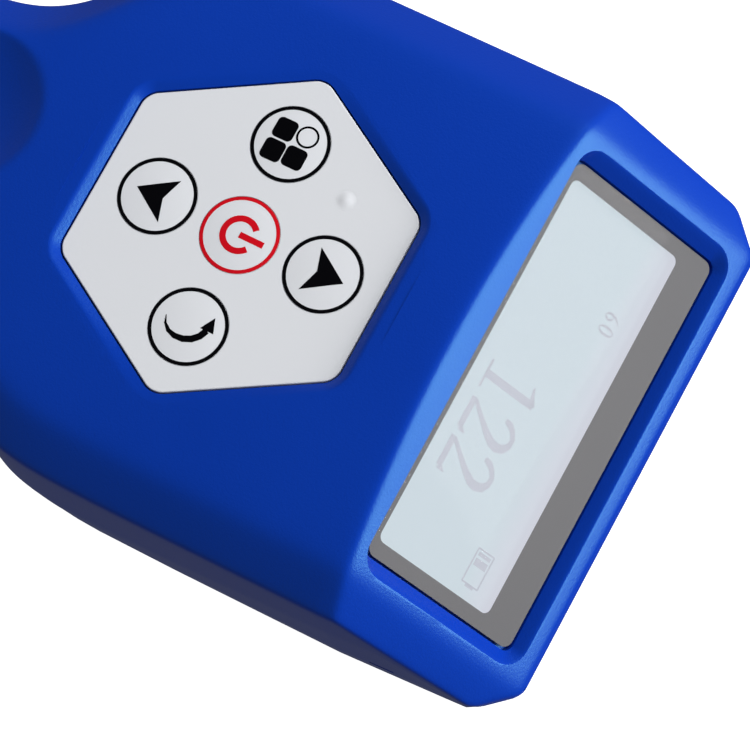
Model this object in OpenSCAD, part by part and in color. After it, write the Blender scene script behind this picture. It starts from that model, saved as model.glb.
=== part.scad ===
/* [Case] */
// Width of the case across the keypad
body_w = 66; // [63:0.5:72]
// Height of the case from its flat back to the crown of the face
case_h = 31; // [29:0.5:36]
// Keypad centre to the head end of the case
head_reach = 47.3; // [46:0.1:54]
// Keypad centre to the tail end of the case
tail_reach = 62; // [58:0.5:72]
// Wall of both shells
wall = 2.1; // [1.6:0.1:2.6]
// Height of the seam between the shells above the back
seam_z = 8.5; // [7.5:0.1:10]
// Height of the front shell's head end above the seam
head_lip = 0.8; // [0.5:0.1:2]
// Width of the neck behind the shoulders
neck_w = 26.5; // [25:0.5:32]
// Where the shoulders are half way in, from the keypad centre
shoulder_y = -25; // [-30:0.1:-23]
// Length over which the shoulders turn
shoulder_soft = 3.8; // [3:0.05:5.5]
// Fall of the crowned face from its middle to its side bevel
crown_drop = 1.74; // [0.8:0.02:2.4]
// Width of the side bevel
bevel_w = 4.9; // [3:0.1:6]
// Fall of the side bevel along the face
bevel_drop = 2.5; // [2:0.1:5]
// Fall of the side bevel along the display hood
hood_bevel_drop = 3; // [2:0.1:4]
// Softness of the edge between face and bevel
bevel_soft = 1.5; // [0.5:0.1:2.5]
// Ridge between face and display hood, from the keypad centre
ridge_y = 26.7; // [25:0.1:28.5]
// Softness of the ridge
ridge_soft = 0.7; // [0.4:0.1:1.2]
// Width of the cut corners at the head end
corner_w = 6.2; // [4:0.1:8]
// Length of the cut corners at the head end
corner_l = 6; // [4.5:0.1:7.5]
// Softness where the clipped corner meets the side
corner_soft = 1.5; // [0.5:0.1:2]
// Rounding where the clipped corner meets the head end
nose_round = 1.5; // [0.8:0.1:2.5]
// Inward lean of the side walls below their crease
wall_tuck = 0.5; // [0.2:0.1:1]
// Height of the side crease above the back at the keypad centre
crease_z = 13.4; // [11:0.1:16]
// Rise of the side crease for each millimetre towards the head
crease_rise = 0.157; // [0.05:0.005:0.2]
// Inward lean of the rear shell
rear_taper = 0.8; // [0.4:0.1:1.5]
// Inward lean of the rear shell's head end
head_rake = 2.4; // [1:0.1:3.5]
// Fillet round the back
back_fillet = 2.2; // [1.5:0.1:3]
// Length of the rounding at the tail end
tail_round = 9; // [6:0.5:12]
// How far the sides come in over the tail rounding
tail_pinch = 4.2; // [3:0.1:4.5]
// How far face and back come in over the tail rounding
tail_drop = 4; // [2:0.1:4.5]
// Radius of the finger dish
dish_r = 10.4; // [9:0.1:11]
// Depth of the finger dish
dish_depth = 2.7; // [1.5:0.1:3.5]
// Centre of the finger dish, from the keypad centre
dish_y = -36.6; // [-40:0.1:-35]
// Length of the pry slot at the right of the seam
slot_l = 3; // [2:0.1:5]
// Height of the pry slot
slot_h = 1; // [0.6:0.1:1.5]
// Depth of the pry slot
slot_depth = 1; // [0.6:0.1:1.4]
// Place of the pry slot, from the keypad centre
slot_y = 32; // [28:0.5:38]

/* [Keypad] */
// Corner radius of the hexagonal keypad, centre to corner
pad_r = 20; // [19.8:0.1:20.8]
// Rounding of the keypad corners
pad_round = 2.4; // [1.5:0.1:3]
// Thickness of the keypad panel
pad_t = 1; // [0.8:0.1:1.4]
// Depth of the panel below the crown of the face
well_depth = 1; // [0.7:0.1:1.5]
// Width of the sloped wall round the well
well_slope = 1.05; // [0.6:0.05:1.6]
// Gap round the panel
pad_gap = 0.25; // [0.15:0.05:0.4]
// Width of the ledge that carries the panel
ledge_w = 1.45; // [1.2:0.05:1.6]
// Radius of a key
key_r = 4.45; // [4:0.05:4.6]
// Gap round a key
key_gap = 0.1; // [0.08:0.01:0.2]
// Crown of a key above the panel
key_crown = 0.15; // [0.1:0.05:0.5]
// Travel of a key
key_travel = 0.5; // [0.3:0.05:0.8]
// Width of the flange that holds a key under the panel
flange_w = 0.55; // [0.4:0.05:0.6]
// Thickness of that flange
flange_t = 0.6; // [0.4:0.05:0.8]
// Radius of a key's stem
stem_r = 1.6; // [1.2:0.1:2]
// Distance of the menu and back keys from the middle
key_dx = 11.66; // [11.4:0.02:11.8]
// Distance of the up and down keys from the middle
key_dy = 10.4; // [10.3:0.02:10.5]
// Place of the lamp pip on each axis
pip_at = 8.6; // [8:0.1:9]
// Radius of the lamp pip
pip_r = 1.2; // [0.8:0.1:1.4]
// Height of the lamp pip above the panel
pip_h = 0.15; // [0.1:0.05:0.4]

/* [Display] */
// Ridge to the near edge of the lens, along the hood
lens_near = 4.1; // [3.6:0.1:4.4]
// Far edge of the lens to the head end, along the hood
lens_far = 3.1; // [2.8:0.1:3.6]
// Width of the lens
lens_w = 49.7; // [49.2:0.1:51]
// Thickness of the lens
lens_t = 0.85; // [0.7:0.05:1]
// Depth of the lens face below the hood
lens_sink = 1.5; // [1:0.1:2]
// Corner radius of the lens
lens_round = 1.2; // [0.8:0.1:2]
// Flare of the recess walls round the lens
lens_flare = 1.7; // [1:0.1:2]
// Gap round the lens and the display pieces
lens_gap = 0.1; // [0.06:0.02:0.14]
// Depth of the ledge that carries the lens
lens_ledge = 1.2; // [0.9:0.1:1.6]
// Width of the display glass
glass_w = 47.4; // [46.5:0.1:47.8]
// Height of the display glass
glass_l = 18; // [16.5:0.1:18.6]
// Thickness of the display glass
glass_t = 1.8; // [1.4:0.1:2.4]
// Ridge to the near edge of the glass, along the hood
glass_near = 5; // [4.9:0.05:5.3]
// Thickness of the backlight
light_t = 2.6; // [2:0.1:3]
// Wall of the display tray
tray_wall = 1.2; // [0.9:0.1:1.4]
// Width of the display flex
flex_w = 18; // [10:1:30]
// Thickness of the display flex
flex_t = 0.3; // [0.2:0.05:0.5]
// Room round the display flex in its slot
flex_room = 1; // [0.6:0.1:1.4]
// Length of the display flex on the board
flex_foot = 5; // [4:0.5:8]

/* [Board] */
// Keypad panel down to the top of the board
board_drop = 6.5; // [6.2:0.1:7.5]
// Thickness of the board
board_t = 1.6; // [1.2:0.1:2]
// Board beyond the keypad at each side
board_over = 2.5; // [2:0.1:3]
// Head edge of the board, from the keypad centre
board_head = 20; // [19:0.1:21]
// Tail edge of the board, from the keypad centre
board_tail = -16.5; // [-17:0.1:-15.5]
// Board edge to its screws
board_screw_in = 3.2; // [3:0.1:4]
// Radius of a board boss
board_boss_r = 2.2; // [1.9:0.1:2.5]
// Shank radius of a board screw
board_screw_r = 0.9; // [0.7:0.05:1]
// Thread of a board screw inside its boss
board_bite = 3; // [2:0.1:3.4]
// Head radius of a board screw
board_head_r = 1.7; // [1.5:0.05:2]
// Head height of a board screw
board_head_h = 1; // [0.8:0.1:1.2]
// Radius of a dome switch
dome_r = 2.8; // [2:0.1:3.2]
// Height of a dome switch
dome_h = 0.5; // [0.3:0.05:0.6]
// Side of the processor chip
chip_w = 10; // [7:0.5:12]
// Thickness of the processor chip
chip_t = 1.4; // [1:0.1:1.8]
// Radius of the buzzer
buzzer_r = 4.5; // [3.5:0.1:5]
// Height of the buzzer
buzzer_h = 4; // [3:0.1:5]
// Board edge to the buzzer
buzzer_in = 1; // [0.6:0.1:2]
// Width of the probe socket
socket_w = 8; // [6:0.5:10]
// Length of the probe socket
socket_l = 5; // [4:0.5:7]
// Height of the probe socket
socket_h = 4; // [3:0.1:4.5]

/* [Power] */
// Diameter of a cell
cell_d = 10.5; // [10.2:0.1:10.6]
// Length of a cell with its nub
cell_l = 44.5; // [43.5:0.1:45]
// Length of the positive nub
nub_l = 0.8; // [0.6:0.1:1.2]
// Radius of the positive nub
nub_r = 1.9; // [1.5:0.1:2.2]
// Gap round the cells
cell_gap = 0.3; // [0.2:0.05:0.5]
// Room for a contact at each end of a cell
contact_room = 3.75; // [3:0.05:4.5]
// Thickness of the contact plates
contact_t = 0.4; // [0.3:0.05:0.6]
// Width of the contact plates
contact_w = 6.2; // [5:0.1:7]
// Wire radius of the contact springs
contact_wire = 0.35; // [0.25:0.05:0.45]
// Play between a contact and its cell
contact_play = 0.1; // [0.05:0.05:0.3]
// Wall of the battery bay
bay_wall = 1.2; // [1:0.1:1.6]
// Gap round the battery door
door_gap = 0.25; // [0.15:0.05:0.4]
// Depth of the battery door below the back
door_sink = 0.3; // [0.2:0.05:0.6]
// Length of the lip that the door swings on
lip_l = 2.1; // [1.5:0.1:2.4]
// Thickness of that lip
lip_t = 1; // [0.8:0.1:1.2]
// Radius of the finger hollow beside the door
pull_r = 9; // [7:0.5:10]
// Depth of the finger hollow
pull_depth = 1.2; // [0.8:0.1:1.4]
// Grip grooves in the door
grip_count = 5; // [3:1:7]
// Spacing of the grip grooves
grip_pitch = 1.8; // [1.4:0.1:2.4]
// Width of a grip groove
grip_w = 0.8; // [0.5:0.1:1]
// Depth of a grip groove
grip_depth = 0.4; // [0.2:0.05:0.6]
// Edge of the door to its first grip groove
grip_in = 5; // [3:0.5:8]

/* [Probe] */
// Height of the probe axis above the back
probe_z = 16; // [15.6:0.1:16.5]
// Outer radius of the probe sleeve
sleeve_r = 6.5; // [6.2:0.1:6.8]
// Length of the sleeve outside the case
sleeve_out = 5; // [3:0.1:8]
// Radius of the flange that holds the sleeve
collar_r = 8; // [7.6:0.1:8.4]
// Thickness of that flange
collar_t = 2; // [1.5:0.1:2.5]
// Radius of the plunger
plunger_r = 4.4; // [4.2:0.1:4.8]
// Radius of the plunger's nose
nose_r = 3.5; // [3.2:0.1:3.7]
// Gap round the plunger
plunger_gap = 0.12; // [0.08:0.01:0.2]
// Nose beyond the sleeve at rest
nose_out = 2; // [1.8:0.1:3]
// Tip beyond the nose
tip_out = 1; // [0.6:0.1:1.4]
// Radius of the tip
tip_r = 1.2; // [1:0.1:1.4]
// Travel of the plunger
probe_travel = 2.5; // [1.5:0.1:2.8]
// Length of the probe spring when it is fully pressed
spring_pressed = 5.38; // [4.5:0.02:6]
// Depth of the lip that stops the plunger
sleeve_lip = 2; // [1.5:0.1:3]
// Depth of the vee across the sleeve's end
vee_depth = 1.2; // [0.8:0.1:1.6]
// Length of the plunger behind its nose
plunger_l = 9; // [8:0.5:10]
// Wire radius of the probe spring
spring_wire = 0.35; // [0.25:0.05:0.45]
// Turns of the probe spring
spring_turns = 4; // [3:1:6]
// Thickness of the cap that closes the sleeve
cap_t = 2; // [1.5:0.1:2.5]
// Radius of the probe lead
lead_r = 1; // [0.7:0.1:1.3]
// Wall of the plunger round its winding
cup_wall = 0.9; // [0.7:0.05:1.1]
// Floor of the plunger under its winding
cup_floor = 1; // [0.8:0.1:1.4]
// Winding to the open end of the plunger
coil_back = 3; // [2:0.1:4]

/* [Screws] */
// Side of the case to the screws beside the board
screw_side = 6.9; // [6.7:0.1:7.4]
// Place of those screws, from the keypad centre
screw_head_y = 17; // [15:0.1:18]
// Side of the case to the shoulder screws
screw_shoulder_in = 8; // [7.8:0.1:9]
// Place of the shoulder screws, from the keypad centre
screw_tail_y = -20.5; // [-21.5:0.1:-20]
// Radius of a case boss
boss_r = 2.6; // [2.3:0.1:2.9]
// Room between a case boss and a board boss
boss_room = 0.5; // [0.3:0.1:1]
// Shank radius of a case screw
screw_r = 1.2; // [1:0.1:1.4]
// Head radius of a case screw
screw_head_r = 2.3; // [2:0.1:2.5]
// Head height of a case screw
screw_head_h = 1.8; // [1.4:0.1:2.2]
// Floor under a case screw's head
screw_floor = 3.4; // [2.6:0.1:4]
// Thread of a case screw inside its boss
screw_bite = 7; // [5:0.1:9]
// Gap round screws in their holes
screw_gap = 0.1; // [0.05:0.05:0.2]
// Wall round a case screw's head
head_wall = 0.8; // [0.6:0.1:1.2]
// Width of the cross in a screw's head
cross_w = 0.6; // [0.4:0.05:0.8]
// Depth of that cross
cross_depth = 0.8; // [0.5:0.05:1]

/* [Hidden] */
$fn = 48;
sliver = 0.5;
ridge_zone = 4;
edge_zone = 9;
pad_y = (tail_reach + sleeve_out + nose_out + tip_out - head_reach) / 2;
panel_z = case_h - well_depth;
pad_under = panel_z - pad_t;
slope_rise = case_h - seam_z - head_lip;
slope_run = head_reach - ridge_y;
slope_len = norm([slope_run, slope_rise]);
slope = atan2(slope_rise, slope_run);
face_edge = body_w / 2 - bevel_w;
crown_r = face_edge * face_edge / (2 * crown_drop);

keys = [[-key_dx, 0], [key_dx, 0], [0, key_dy], [0, -key_dy], [0, 0]];
key_rest_gap = 0.05;
hole_r = key_r + key_gap;
flange_top = pad_under - key_rest_gap;
pit_floor = flange_top - flange_t - key_travel - sliver / 4;
pit_plate = 1.5;
pit_r = pad_r + pad_gap - ledge_w / cos(30);
tub_r = pad_r + wall;
board_z = panel_z - board_drop;
board_under = board_z - board_t;
stem_foot = board_z + dome_h + key_travel + sliver / 5;

lens_l = slope_len - lens_near - lens_far;
lens_floor = lens_sink + lens_t;
pad_floor = lens_floor + lens_ledge;
glass_top = lens_floor + lens_gap;
light_top = glass_top + glass_t;
tray_floor = light_top + light_t;
tray_in = 2 * lens_gap;

board_x = pad_r + board_over;
board_screw_x = min(board_x - board_screw_in, body_w / 2 - screw_side - boss_r - board_boss_r - boss_room);
board_screws = [for (x = [-1, 1], y = [board_tail + board_screw_in, board_head - board_screw_in])
    [x * board_screw_x, y]];
chip_at = [0, (board_head + board_tail) / 2];
buzzer_at = [board_x - buzzer_r - buzzer_in, chip_at[1] - buzzer_r];
socket_mid = board_under - socket_h / 2;

bay_x = cell_d + 2 * cell_gap;
bay_y = cell_l / 2 + contact_room;
door_top = wall + door_gap;
cell_z = door_top + cell_gap + cell_d / 2;
bay_top = cell_z + cell_d / 2 + cell_gap;
cell_x = cell_d / 2 + cell_gap / 2;

screw_spots = [for (x = [-1, 1]) each [
    [x * (body_w / 2 - screw_side), screw_head_y],
    [x * (side_curve(screw_tail_y) - screw_shoulder_in), screw_tail_y]]];

sleeve_tip = -tail_reach - sleeve_out;
sleeve_bore = plunger_r + plunger_gap;
shoulder_at = sleeve_tip + sleeve_lip + plunger_gap;
plunger_end = shoulder_at + plunger_l;
spring_r = plunger_r - spring_wire - 2.5 * plunger_gap;
cap_at = plunger_end + probe_travel + spring_pressed;
sleeve_end = cap_at + cap_t;
coil_cup = plunger_r - cup_wall;
lead_route = [for (t = [0, 0.1, 0.28, 0.5, 0.72, 0.9, 1])
    [sleeve_end + (board_tail - sleeve_end) * t, probe_z + (socket_mid - probe_z) * t * t * (3 - 2 * t)]];

case_blue = [0.06, 0.22, 0.62];
pad_white = [0.84, 0.85, 0.87];
steel = [0.72, 0.73, 0.75];
black = [0.08, 0.08, 0.09];

function soft_over(u, k) = (u + sqrt(u * u + k * k)) / 2;
function soft_min(a, b, k) = (a + b - sqrt((a - b) * (a - b) + k * k)) / 2;
function soft_ramp(u, k) = u < -k ? 0 : u > k ? u : (u + k) * (u + k) / (4 * k);
function within(v, low, high) = min(high, max(low, v));
function round_in(u) = 1 - sqrt(1 - u * u);

// Plan of the case: straight sides, S-curved shoulders, rounded tail end and cut head corners
function side_curve(y) = neck_w / 2 + (body_w - neck_w) / 2 / (1 + exp((shoulder_y - y) / shoulder_soft));
function tail_share(y) = within((tail_round - tail_reach - y) / tail_round, 0, 1);
function tail_side(y) = side_curve(y) - tail_pinch * round_in(tail_share(y));
function corner_in(y) = corner_w / corner_l * soft_ramp(y - head_reach + corner_l, corner_soft);
function nose_share(y) = within((y - head_reach + nose_round) / nose_round, 0, 1);
function half_width(y) = tail_side(y) - corner_in(y) - nose_round * round_in(nose_share(y));

// Height of the crowned face, of the hood and of both with the side bevel; d is the depth below the skin
function face_height(x, y, d) = case_h - d - x * x / (2 * crown_r) - tail_drop * round_in(tail_share(y));
function hood_height(y, d) = case_h - d / cos(slope) - (y - ridge_y) * tan(slope);
function bevel_fall(y) =
    bevel_drop + (hood_bevel_drop - bevel_drop) * within((y - ridge_y) / ridge_zone / 2, 0, 1);
function bevel_height(x, y, d) =
    soft_over((abs(x) - tail_side(y) + bevel_w + 0.4 * d) * bevel_fall(y) / bevel_w, bevel_soft);
function skin_height(x, y, d) =
    soft_min(face_height(x, y, d), hood_height(y, d), ridge_soft) - bevel_height(x, y, d);

// Top of a boss inside the roof
function boss_top(s, r) = skin_height(abs(s[0]) + r, s[1], 0.6 * wall);

// Stations along the case: close where the plan or the top turns
function stations(d) =
    let (tail = d - tail_reach, head = head_reach - 1.2 * d)
    let (turn = shoulder_y + 5 * shoulder_soft, cut = head_reach - corner_l)
    concat(
        [for (a = [90:-15:0]) tail + tail_round * (1 - sin(a))],
        [for (i = [1:16]) tail + tail_round + (turn - tail - tail_round) * i / 16],
        [for (i = [1:3]) turn + (ridge_y - 0.75 * ridge_zone - turn) * i / 3],
        [for (k = [-0.35, -0.18, -0.05, 0.08, 0.2, 0.33, 0.45, 0.65, 1]) ridge_y + ridge_zone * k],
        [for (i = [1:3]) ridge_y + ridge_zone + (cut - corner_soft - ridge_y - ridge_zone) * i / 3],
        [for (k = [0, 0.25, 0.6]) cut + (head - nose_round - cut) * k],
        [for (a = [0, 30, 50, 70, 90]) head - nose_round * (1 - sin(a))]);

// Places across the top, from the side wall to the middle
function across(w) =
    let (zone = min(edge_zone, 0.8 * w))
    concat([for (k = [0, 0.14, 0.28, 0.4, 0.48, 0.56, 0.66, 0.8, 1]) w - zone * k],
        [for (k = [0.6, 0.3]) (w - zone) * k]);

// Half of a front section from the seam up to the middle of the top, then mirrored
function front_half(y, d, low) =
    let (w = half_width(y) - d, floor_z = low + (d > 0 ? sliver : 0))
    let (edge = max(floor_z, skin_height(w, y, d)), crease = crease_z + crease_rise * y)
    concat([[w - wall_tuck, low]],
        [[w, within(crease, low + (edge - low) / 4, edge - (edge - low) / 4)]],
        [for (x = across(w)) [x, max(floor_z, skin_height(x, y, d))]]);
function front_section(y, d, low) =
    let (half = front_half(y, d, low), n = len(half))
    concat([for (p = half) [-p[0], y, p[1]]], [[0, y, max(low + sliver, skin_height(0, y, d))]],
        [for (i = [n - 1:-1:0]) [half[i][0], y, half[i][1]]]);

// Half of a rear section from the seam down to the middle of the back, then mirrored
function back_lift(y) = tail_drop * round_in(tail_share(y))
    + back_fillet * round_in(within(1 - (head_reach - y) / back_fillet, 0, 1));
function rear_half(y, d, high) =
    let (w = half_width(y) - wall_tuck - d, low = back_lift(y) + d)
    concat([[w, high]], [for (a = [0:18:90])
        [w - rear_taper - back_fillet * (1 - cos(a)), low + back_fillet * (1 - sin(a))]]);

// The head end leans in towards the back
function raked(y, z) =
    y - head_rake * within((y - ridge_y) / (head_reach - ridge_y), 0, 1) * (seam_z - z) / seam_z;
function rear_section(y, d, high) =
    let (half = rear_half(y, d, high), n = len(half))
    concat([for (p = half) [p[0], raked(y, p[1]), p[1]]],
        [for (i = [n - 1:-1:0]) [-half[i][0], raked(y, half[i][1]), half[i][1]]]);

// Point of the hood in the side view: s along the slope from the ridge, d below the hood
function hood_point(s, d) =
    [ridge_y + s * cos(slope) - d * sin(slope), case_h - s * sin(slope) - d * cos(slope)];

function rounded_hexagon(r, round) = [for (i = [0:5], k = [-2:2])
    (r - round / cos(30)) * [cos(60 * i), sin(60 * i)]
        + round * [cos(60 * i + 15 * k), sin(60 * i + 15 * k)]];
function rounded_box(w, l, r) = [for (i = [0:3], k = [0:4])
    let (a = 90 * i + 22.5 * k, right = i == 0 || i == 3 ? 1 : -1, up = i < 2 ? 1 : -1)
    [right * (w / 2 - r) + r * cos(a), up * (l / 2 - r) + r * sin(a)]];
function at_height(outline, z) = [for (p = outline) [p[0], p[1], z]];

// Solid through a row of closed sections with equal point counts
module loft(sections) {
    m = len(sections[0]);
    n = len(sections);
    sides = [for (i = [0:n - 2], j = [0:m - 1]) let (k = (j + 1) % m) each [
        [i * m + j, (i + 1) * m + j, (i + 1) * m + k],
        [i * m + j, (i + 1) * m + k, i * m + k]]];
    ends = [[for (j = [0:m - 1]) j], [for (j = [m - 1:-1:0]) (n - 1) * m + j]];
    polyhedron([for (s = sections) each s], concat(sides, ends), convexity = 8);
}

// Round wire along a coil about Z
module coil(r_start, r_end, height, turns, wire) {
    steps = 16 * turns;
    loft([for (i = [0:steps])
        let (a = -360 * turns * i / steps, r = r_start + (r_end - r_start) * i / steps)
        [for (k = [0:45:315]) [(r + wire * cos(k)) * cos(a), (r + wire * cos(k)) * sin(a),
            height * i / steps + wire * sin(k)]]]);
}

module on_keypad() { translate([0, pad_y, 0]) children(); }

// Frame of the hood: x across, y down the slope from the ridge, z out of the hood
module on_hood() {
    on_keypad() translate([0, ridge_y, case_h]) rotate([-slope, 0, 0]) children();
}

// Plate parallel to the hood, from depth top to depth bottom
module hood_plate(w, near, l, top, bottom, round) {
    on_hood() translate([0, near + l / 2, -bottom])
        linear_extrude(bottom - top) polygon(rounded_box(w, l, round));
}

// Cylinder along the probe axis
module probe_rod(r, from, to) {
    on_keypad() translate([0, from, probe_z]) rotate([-90, 0, 0]) cylinder(r = r, h = to - from);
}

module lens_recess() {
    grow = 2 * lens_flare + 2 * lens_gap;
    on_hood() translate([0, lens_near + lens_l / 2, 0]) loft([
        at_height(rounded_box(lens_w + 2 * lens_gap, lens_l + 2 * lens_gap, lens_round), -lens_sink),
        at_height(rounded_box(lens_w + grow, lens_l + grow, lens_round + lens_flare), 0),
        at_height(rounded_box(lens_w + grow, lens_l + grow, lens_round + lens_flare), sliver)]);
    hood_plate(lens_w + 2 * lens_gap, lens_near - lens_gap, lens_l + 2 * lens_gap,
        lens_sink - sliver, lens_floor, lens_round);
    hood_plate(glass_w + 2 * tray_in, glass_near - tray_in, glass_l + 2 * tray_in,
        lens_floor - sliver, pad_floor + sliver, lens_round / 2);
}

module keypad_well() {
    mouth = pad_gap + well_slope / cos(30);
    on_keypad() {
        loft([at_height(rounded_hexagon(pad_r + pad_gap, pad_round), panel_z),
            at_height(rounded_hexagon(pad_r + mouth, pad_round + well_slope), case_h),
            at_height(rounded_hexagon(pad_r + mouth, pad_round + well_slope), case_h + sliver)]);
        translate([0, 0, pad_under]) linear_extrude(pad_t + sliver / 5)
            polygon(rounded_hexagon(pad_r + pad_gap, pad_round));
        translate([0, 0, pit_floor]) linear_extrude(pad_under)
            polygon(rounded_hexagon(pit_r, pad_round));
        for (k = keys) translate([k[0], k[1], pit_floor - 2 * pit_plate])
            cylinder(r = stem_r + 2 * key_gap, h = 3 * pit_plate);
        translate([-pip_at, pip_at, pit_floor - 2 * pit_plate])
            cylinder(r = pip_r + key_gap, h = 3 * pit_plate);
    }
}

module case_bosses() {
    on_keypad() {
        for (s = screw_spots) translate([s[0], s[1], seam_z])
            cylinder(r = boss_r, h = boss_top(s, boss_r) - seam_z);
        for (s = board_screws) translate([s[0], s[1], board_z])
            cylinder(r = board_boss_r, h = boss_top(s, board_boss_r) - board_z);
    }
}

module boss_holes() {
    on_keypad() {
        for (s = screw_spots) translate([s[0], s[1], seam_z - sliver])
            cylinder(r = screw_r + screw_gap, h = screw_bite + 2 * sliver);
        for (s = board_screws) translate([s[0], s[1], board_z - sliver])
            cylinder(r = board_screw_r + screw_gap, h = board_bite + 2 * sliver);
    }
}

module front_shell() {
    dish_ball = (dish_r * dish_r + dish_depth * dish_depth) / (2 * dish_depth);
    color(case_blue) difference() {
        union() {
            difference() {
                on_keypad() loft([for (y = stations(0)) front_section(y, 0, seam_z)]);
                on_keypad() loft([for (y = stations(wall)) front_section(y, wall, seam_z - 2 * sliver)]);
            }
            on_keypad() translate([0, 0, pit_floor - pit_plate])
                linear_extrude(pit_plate + panel_z - pit_floor - sliver)
                polygon(rounded_hexagon(tub_r, pad_round));
            on_keypad() translate([0, dish_y, case_h - dish_depth - wall])
                cylinder(r = dish_r + wall / 5, h = dish_depth + wall / 4);
            hood_plate(lens_w + 2 * lens_flare, 2 * sliver + lens_flare, lens_l + lens_flare,
                wall / 2, pad_floor, lens_round);
            case_bosses();
        }
        keypad_well();
        lens_recess();
        boss_holes();
        probe_rod(sleeve_r + plunger_gap, -tail_reach - wall, -tail_reach + 2 * wall);
        on_keypad() {
            translate([0, dish_y, case_h - dish_depth + dish_ball]) sphere(r = dish_ball, $fn = 96);
            translate([half_width(slot_y) - wall_tuck - slot_depth, slot_y - slot_l / 2, seam_z - sliver])
                cube([2 * slot_depth, slot_l, slot_h + sliver]);
        }
    }
}

module rear_shell() {
    pull_ball = (pull_r * pull_r + pull_depth * pull_depth) / (2 * pull_depth);
    color(case_blue) difference() {
        union() {
            difference() {
                on_keypad() loft([for (y = stations(0)) rear_section(y, 0, seam_z)]);
                on_keypad() loft([for (y = stations(wall)) rear_section(y, wall, seam_z + 2 * sliver)]);
            }
            on_keypad() {
                translate([-bay_x - bay_wall, -bay_y - bay_wall, wall / 2]) cube([2 * (bay_x + bay_wall),
                    2 * bay_y + 2 * bay_wall + lip_l, bay_top + bay_wall - wall / 2]);
                for (s = screw_spots) translate([s[0], s[1], wall / 2])
                    cylinder(r = screw_head_r + screw_gap + head_wall, h = seam_z - wall / 2);
            }
        }
        on_keypad() {
            translate([-bay_x, -bay_y, -sliver]) cube([2 * bay_x, 2 * bay_y, bay_top + sliver]);
            translate([-bay_x, 0, wall]) cube([2 * bay_x, bay_y + lip_l + door_gap, 2.5 * lip_t]);
            for (s = screw_spots) translate([s[0], s[1], -sliver]) {
                cylinder(r = screw_r + screw_gap, h = seam_z + 2 * sliver);
                cylinder(r = screw_head_r + screw_gap, h = screw_floor + sliver);
            }
            translate([0, -bay_y, pull_depth - pull_ball]) sphere(r = pull_ball);
        }
        probe_rod(collar_r + plunger_gap, wall - tail_reach,
            wall - tail_reach + collar_t + 2 * plunger_gap);
    }
}

module battery_door() {
    w = 2 * (bay_x - door_gap);
    color(case_blue) on_keypad() difference() {
        union() {
            translate([-w / 2, -bay_y + door_gap, door_sink])
                cube([w, 2 * (bay_y - door_gap), door_top - door_sink]);
            translate([-w / 2, bay_y - 2 * lip_t, door_top - sliver / 5])
                cube([w, 2 * lip_t + lip_l - door_gap, lip_t + sliver / 5]);
        }
        for (i = [0:grip_count - 1])
            translate([-w / 5, -bay_y + grip_in + grip_pitch * i, door_sink - sliver])
            cube([2 * w / 5, grip_w, sliver + grip_depth]);
    }
}

module display_lens() {
    color([0.55, 0.57, 0.6, 0.5]) hood_plate(lens_w, lens_near, lens_l, lens_sink, lens_floor, lens_round);
}

module display_glass() {
    color([0.8, 0.86, 0.9]) hood_plate(glass_w, glass_near, glass_l, glass_top, light_top, lens_round / 4);
}

module backlight() {
    color("white") hood_plate(glass_w, glass_near, glass_l, light_top, tray_floor, lens_round / 4);
}

module display_tray() {
    color(black) difference() {
        hood_plate(glass_w + 2 * tray_in + 2 * tray_wall, glass_near - tray_in - tray_wall,
            glass_l + 2 * tray_in + 2 * tray_wall, pad_floor, tray_floor + tray_wall, lens_round);
        hood_plate(glass_w + 2 * tray_in, glass_near - tray_in, glass_l + 2 * tray_in,
            pad_floor - sliver, tray_floor, lens_round / 4);
        hood_plate(flex_w + flex_room, glass_near + flex_room, 3 * flex_t + flex_room,
            tray_floor - sliver, tray_floor + 2 * tray_wall, flex_room / 3);
    }
}

// Strip from the foot of the backlight, out of the tray and down onto the board
module display_flex() {
    start = hood_point(glass_near + flex_room + flex_t, tray_floor + flex_t);
    out = hood_point(glass_near + flex_room + flex_t, tray_floor + 2 * tray_wall);
    route = [start, out, [board_head - 0.4 * flex_foot, board_under - 3 * flex_t],
        [board_head - flex_foot, board_under - flex_t / 2]];
    color([0.75, 0.5, 0.15]) on_keypad() translate([-flex_w / 2, 0, 0]) rotate([90, 0, 90])
        linear_extrude(flex_w) polygon(concat(
            [for (p = route) p + [0, flex_t / 2]],
            [for (i = [3:-1:0]) route[i] - [0, flex_t / 2]]));
}

module keypad_panel() {
    color(pad_white) on_keypad() difference() {
        translate([0, 0, pad_under]) linear_extrude(pad_t)
            polygon(rounded_hexagon(pad_r, pad_round - pad_gap));
        for (k = keys) translate([k[0], k[1], pad_under - sliver])
            cylinder(r = hole_r, h = pad_t + 2 * sliver);
        translate([-pip_at, pip_at, pad_under - sliver])
            cylinder(r = pip_r + key_gap / 2, h = pad_t + 2 * sliver);
    }
}

// Crowned disc that stands in the panel, with a flange below and a stem down to its switch
module key(i) {
    ball = (key_r * key_r + key_crown * key_crown) / (2 * key_crown);
    crown = [for (k = [0:8]) let (x = key_r * k / 8)
        [x, panel_z + key_crown - ball + sqrt(ball * ball - x * x)]];
    color(pad_white) on_keypad() translate([keys[i][0], keys[i][1], 0]) rotate_extrude()
        polygon(concat([[0, stem_foot]], [[stem_r, stem_foot], [stem_r, flange_top - flange_t],
            [key_r + flange_w, flange_top - flange_t], [key_r + flange_w, flange_top], [key_r, flange_top]],
            [for (k = [8:-1:0]) crown[k]]));
}

module menu_key() { key(0); }
module back_key() { key(1); }
module up_key() { key(2); }
module down_key() { key(3); }
module power_key() { key(4); }

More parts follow.
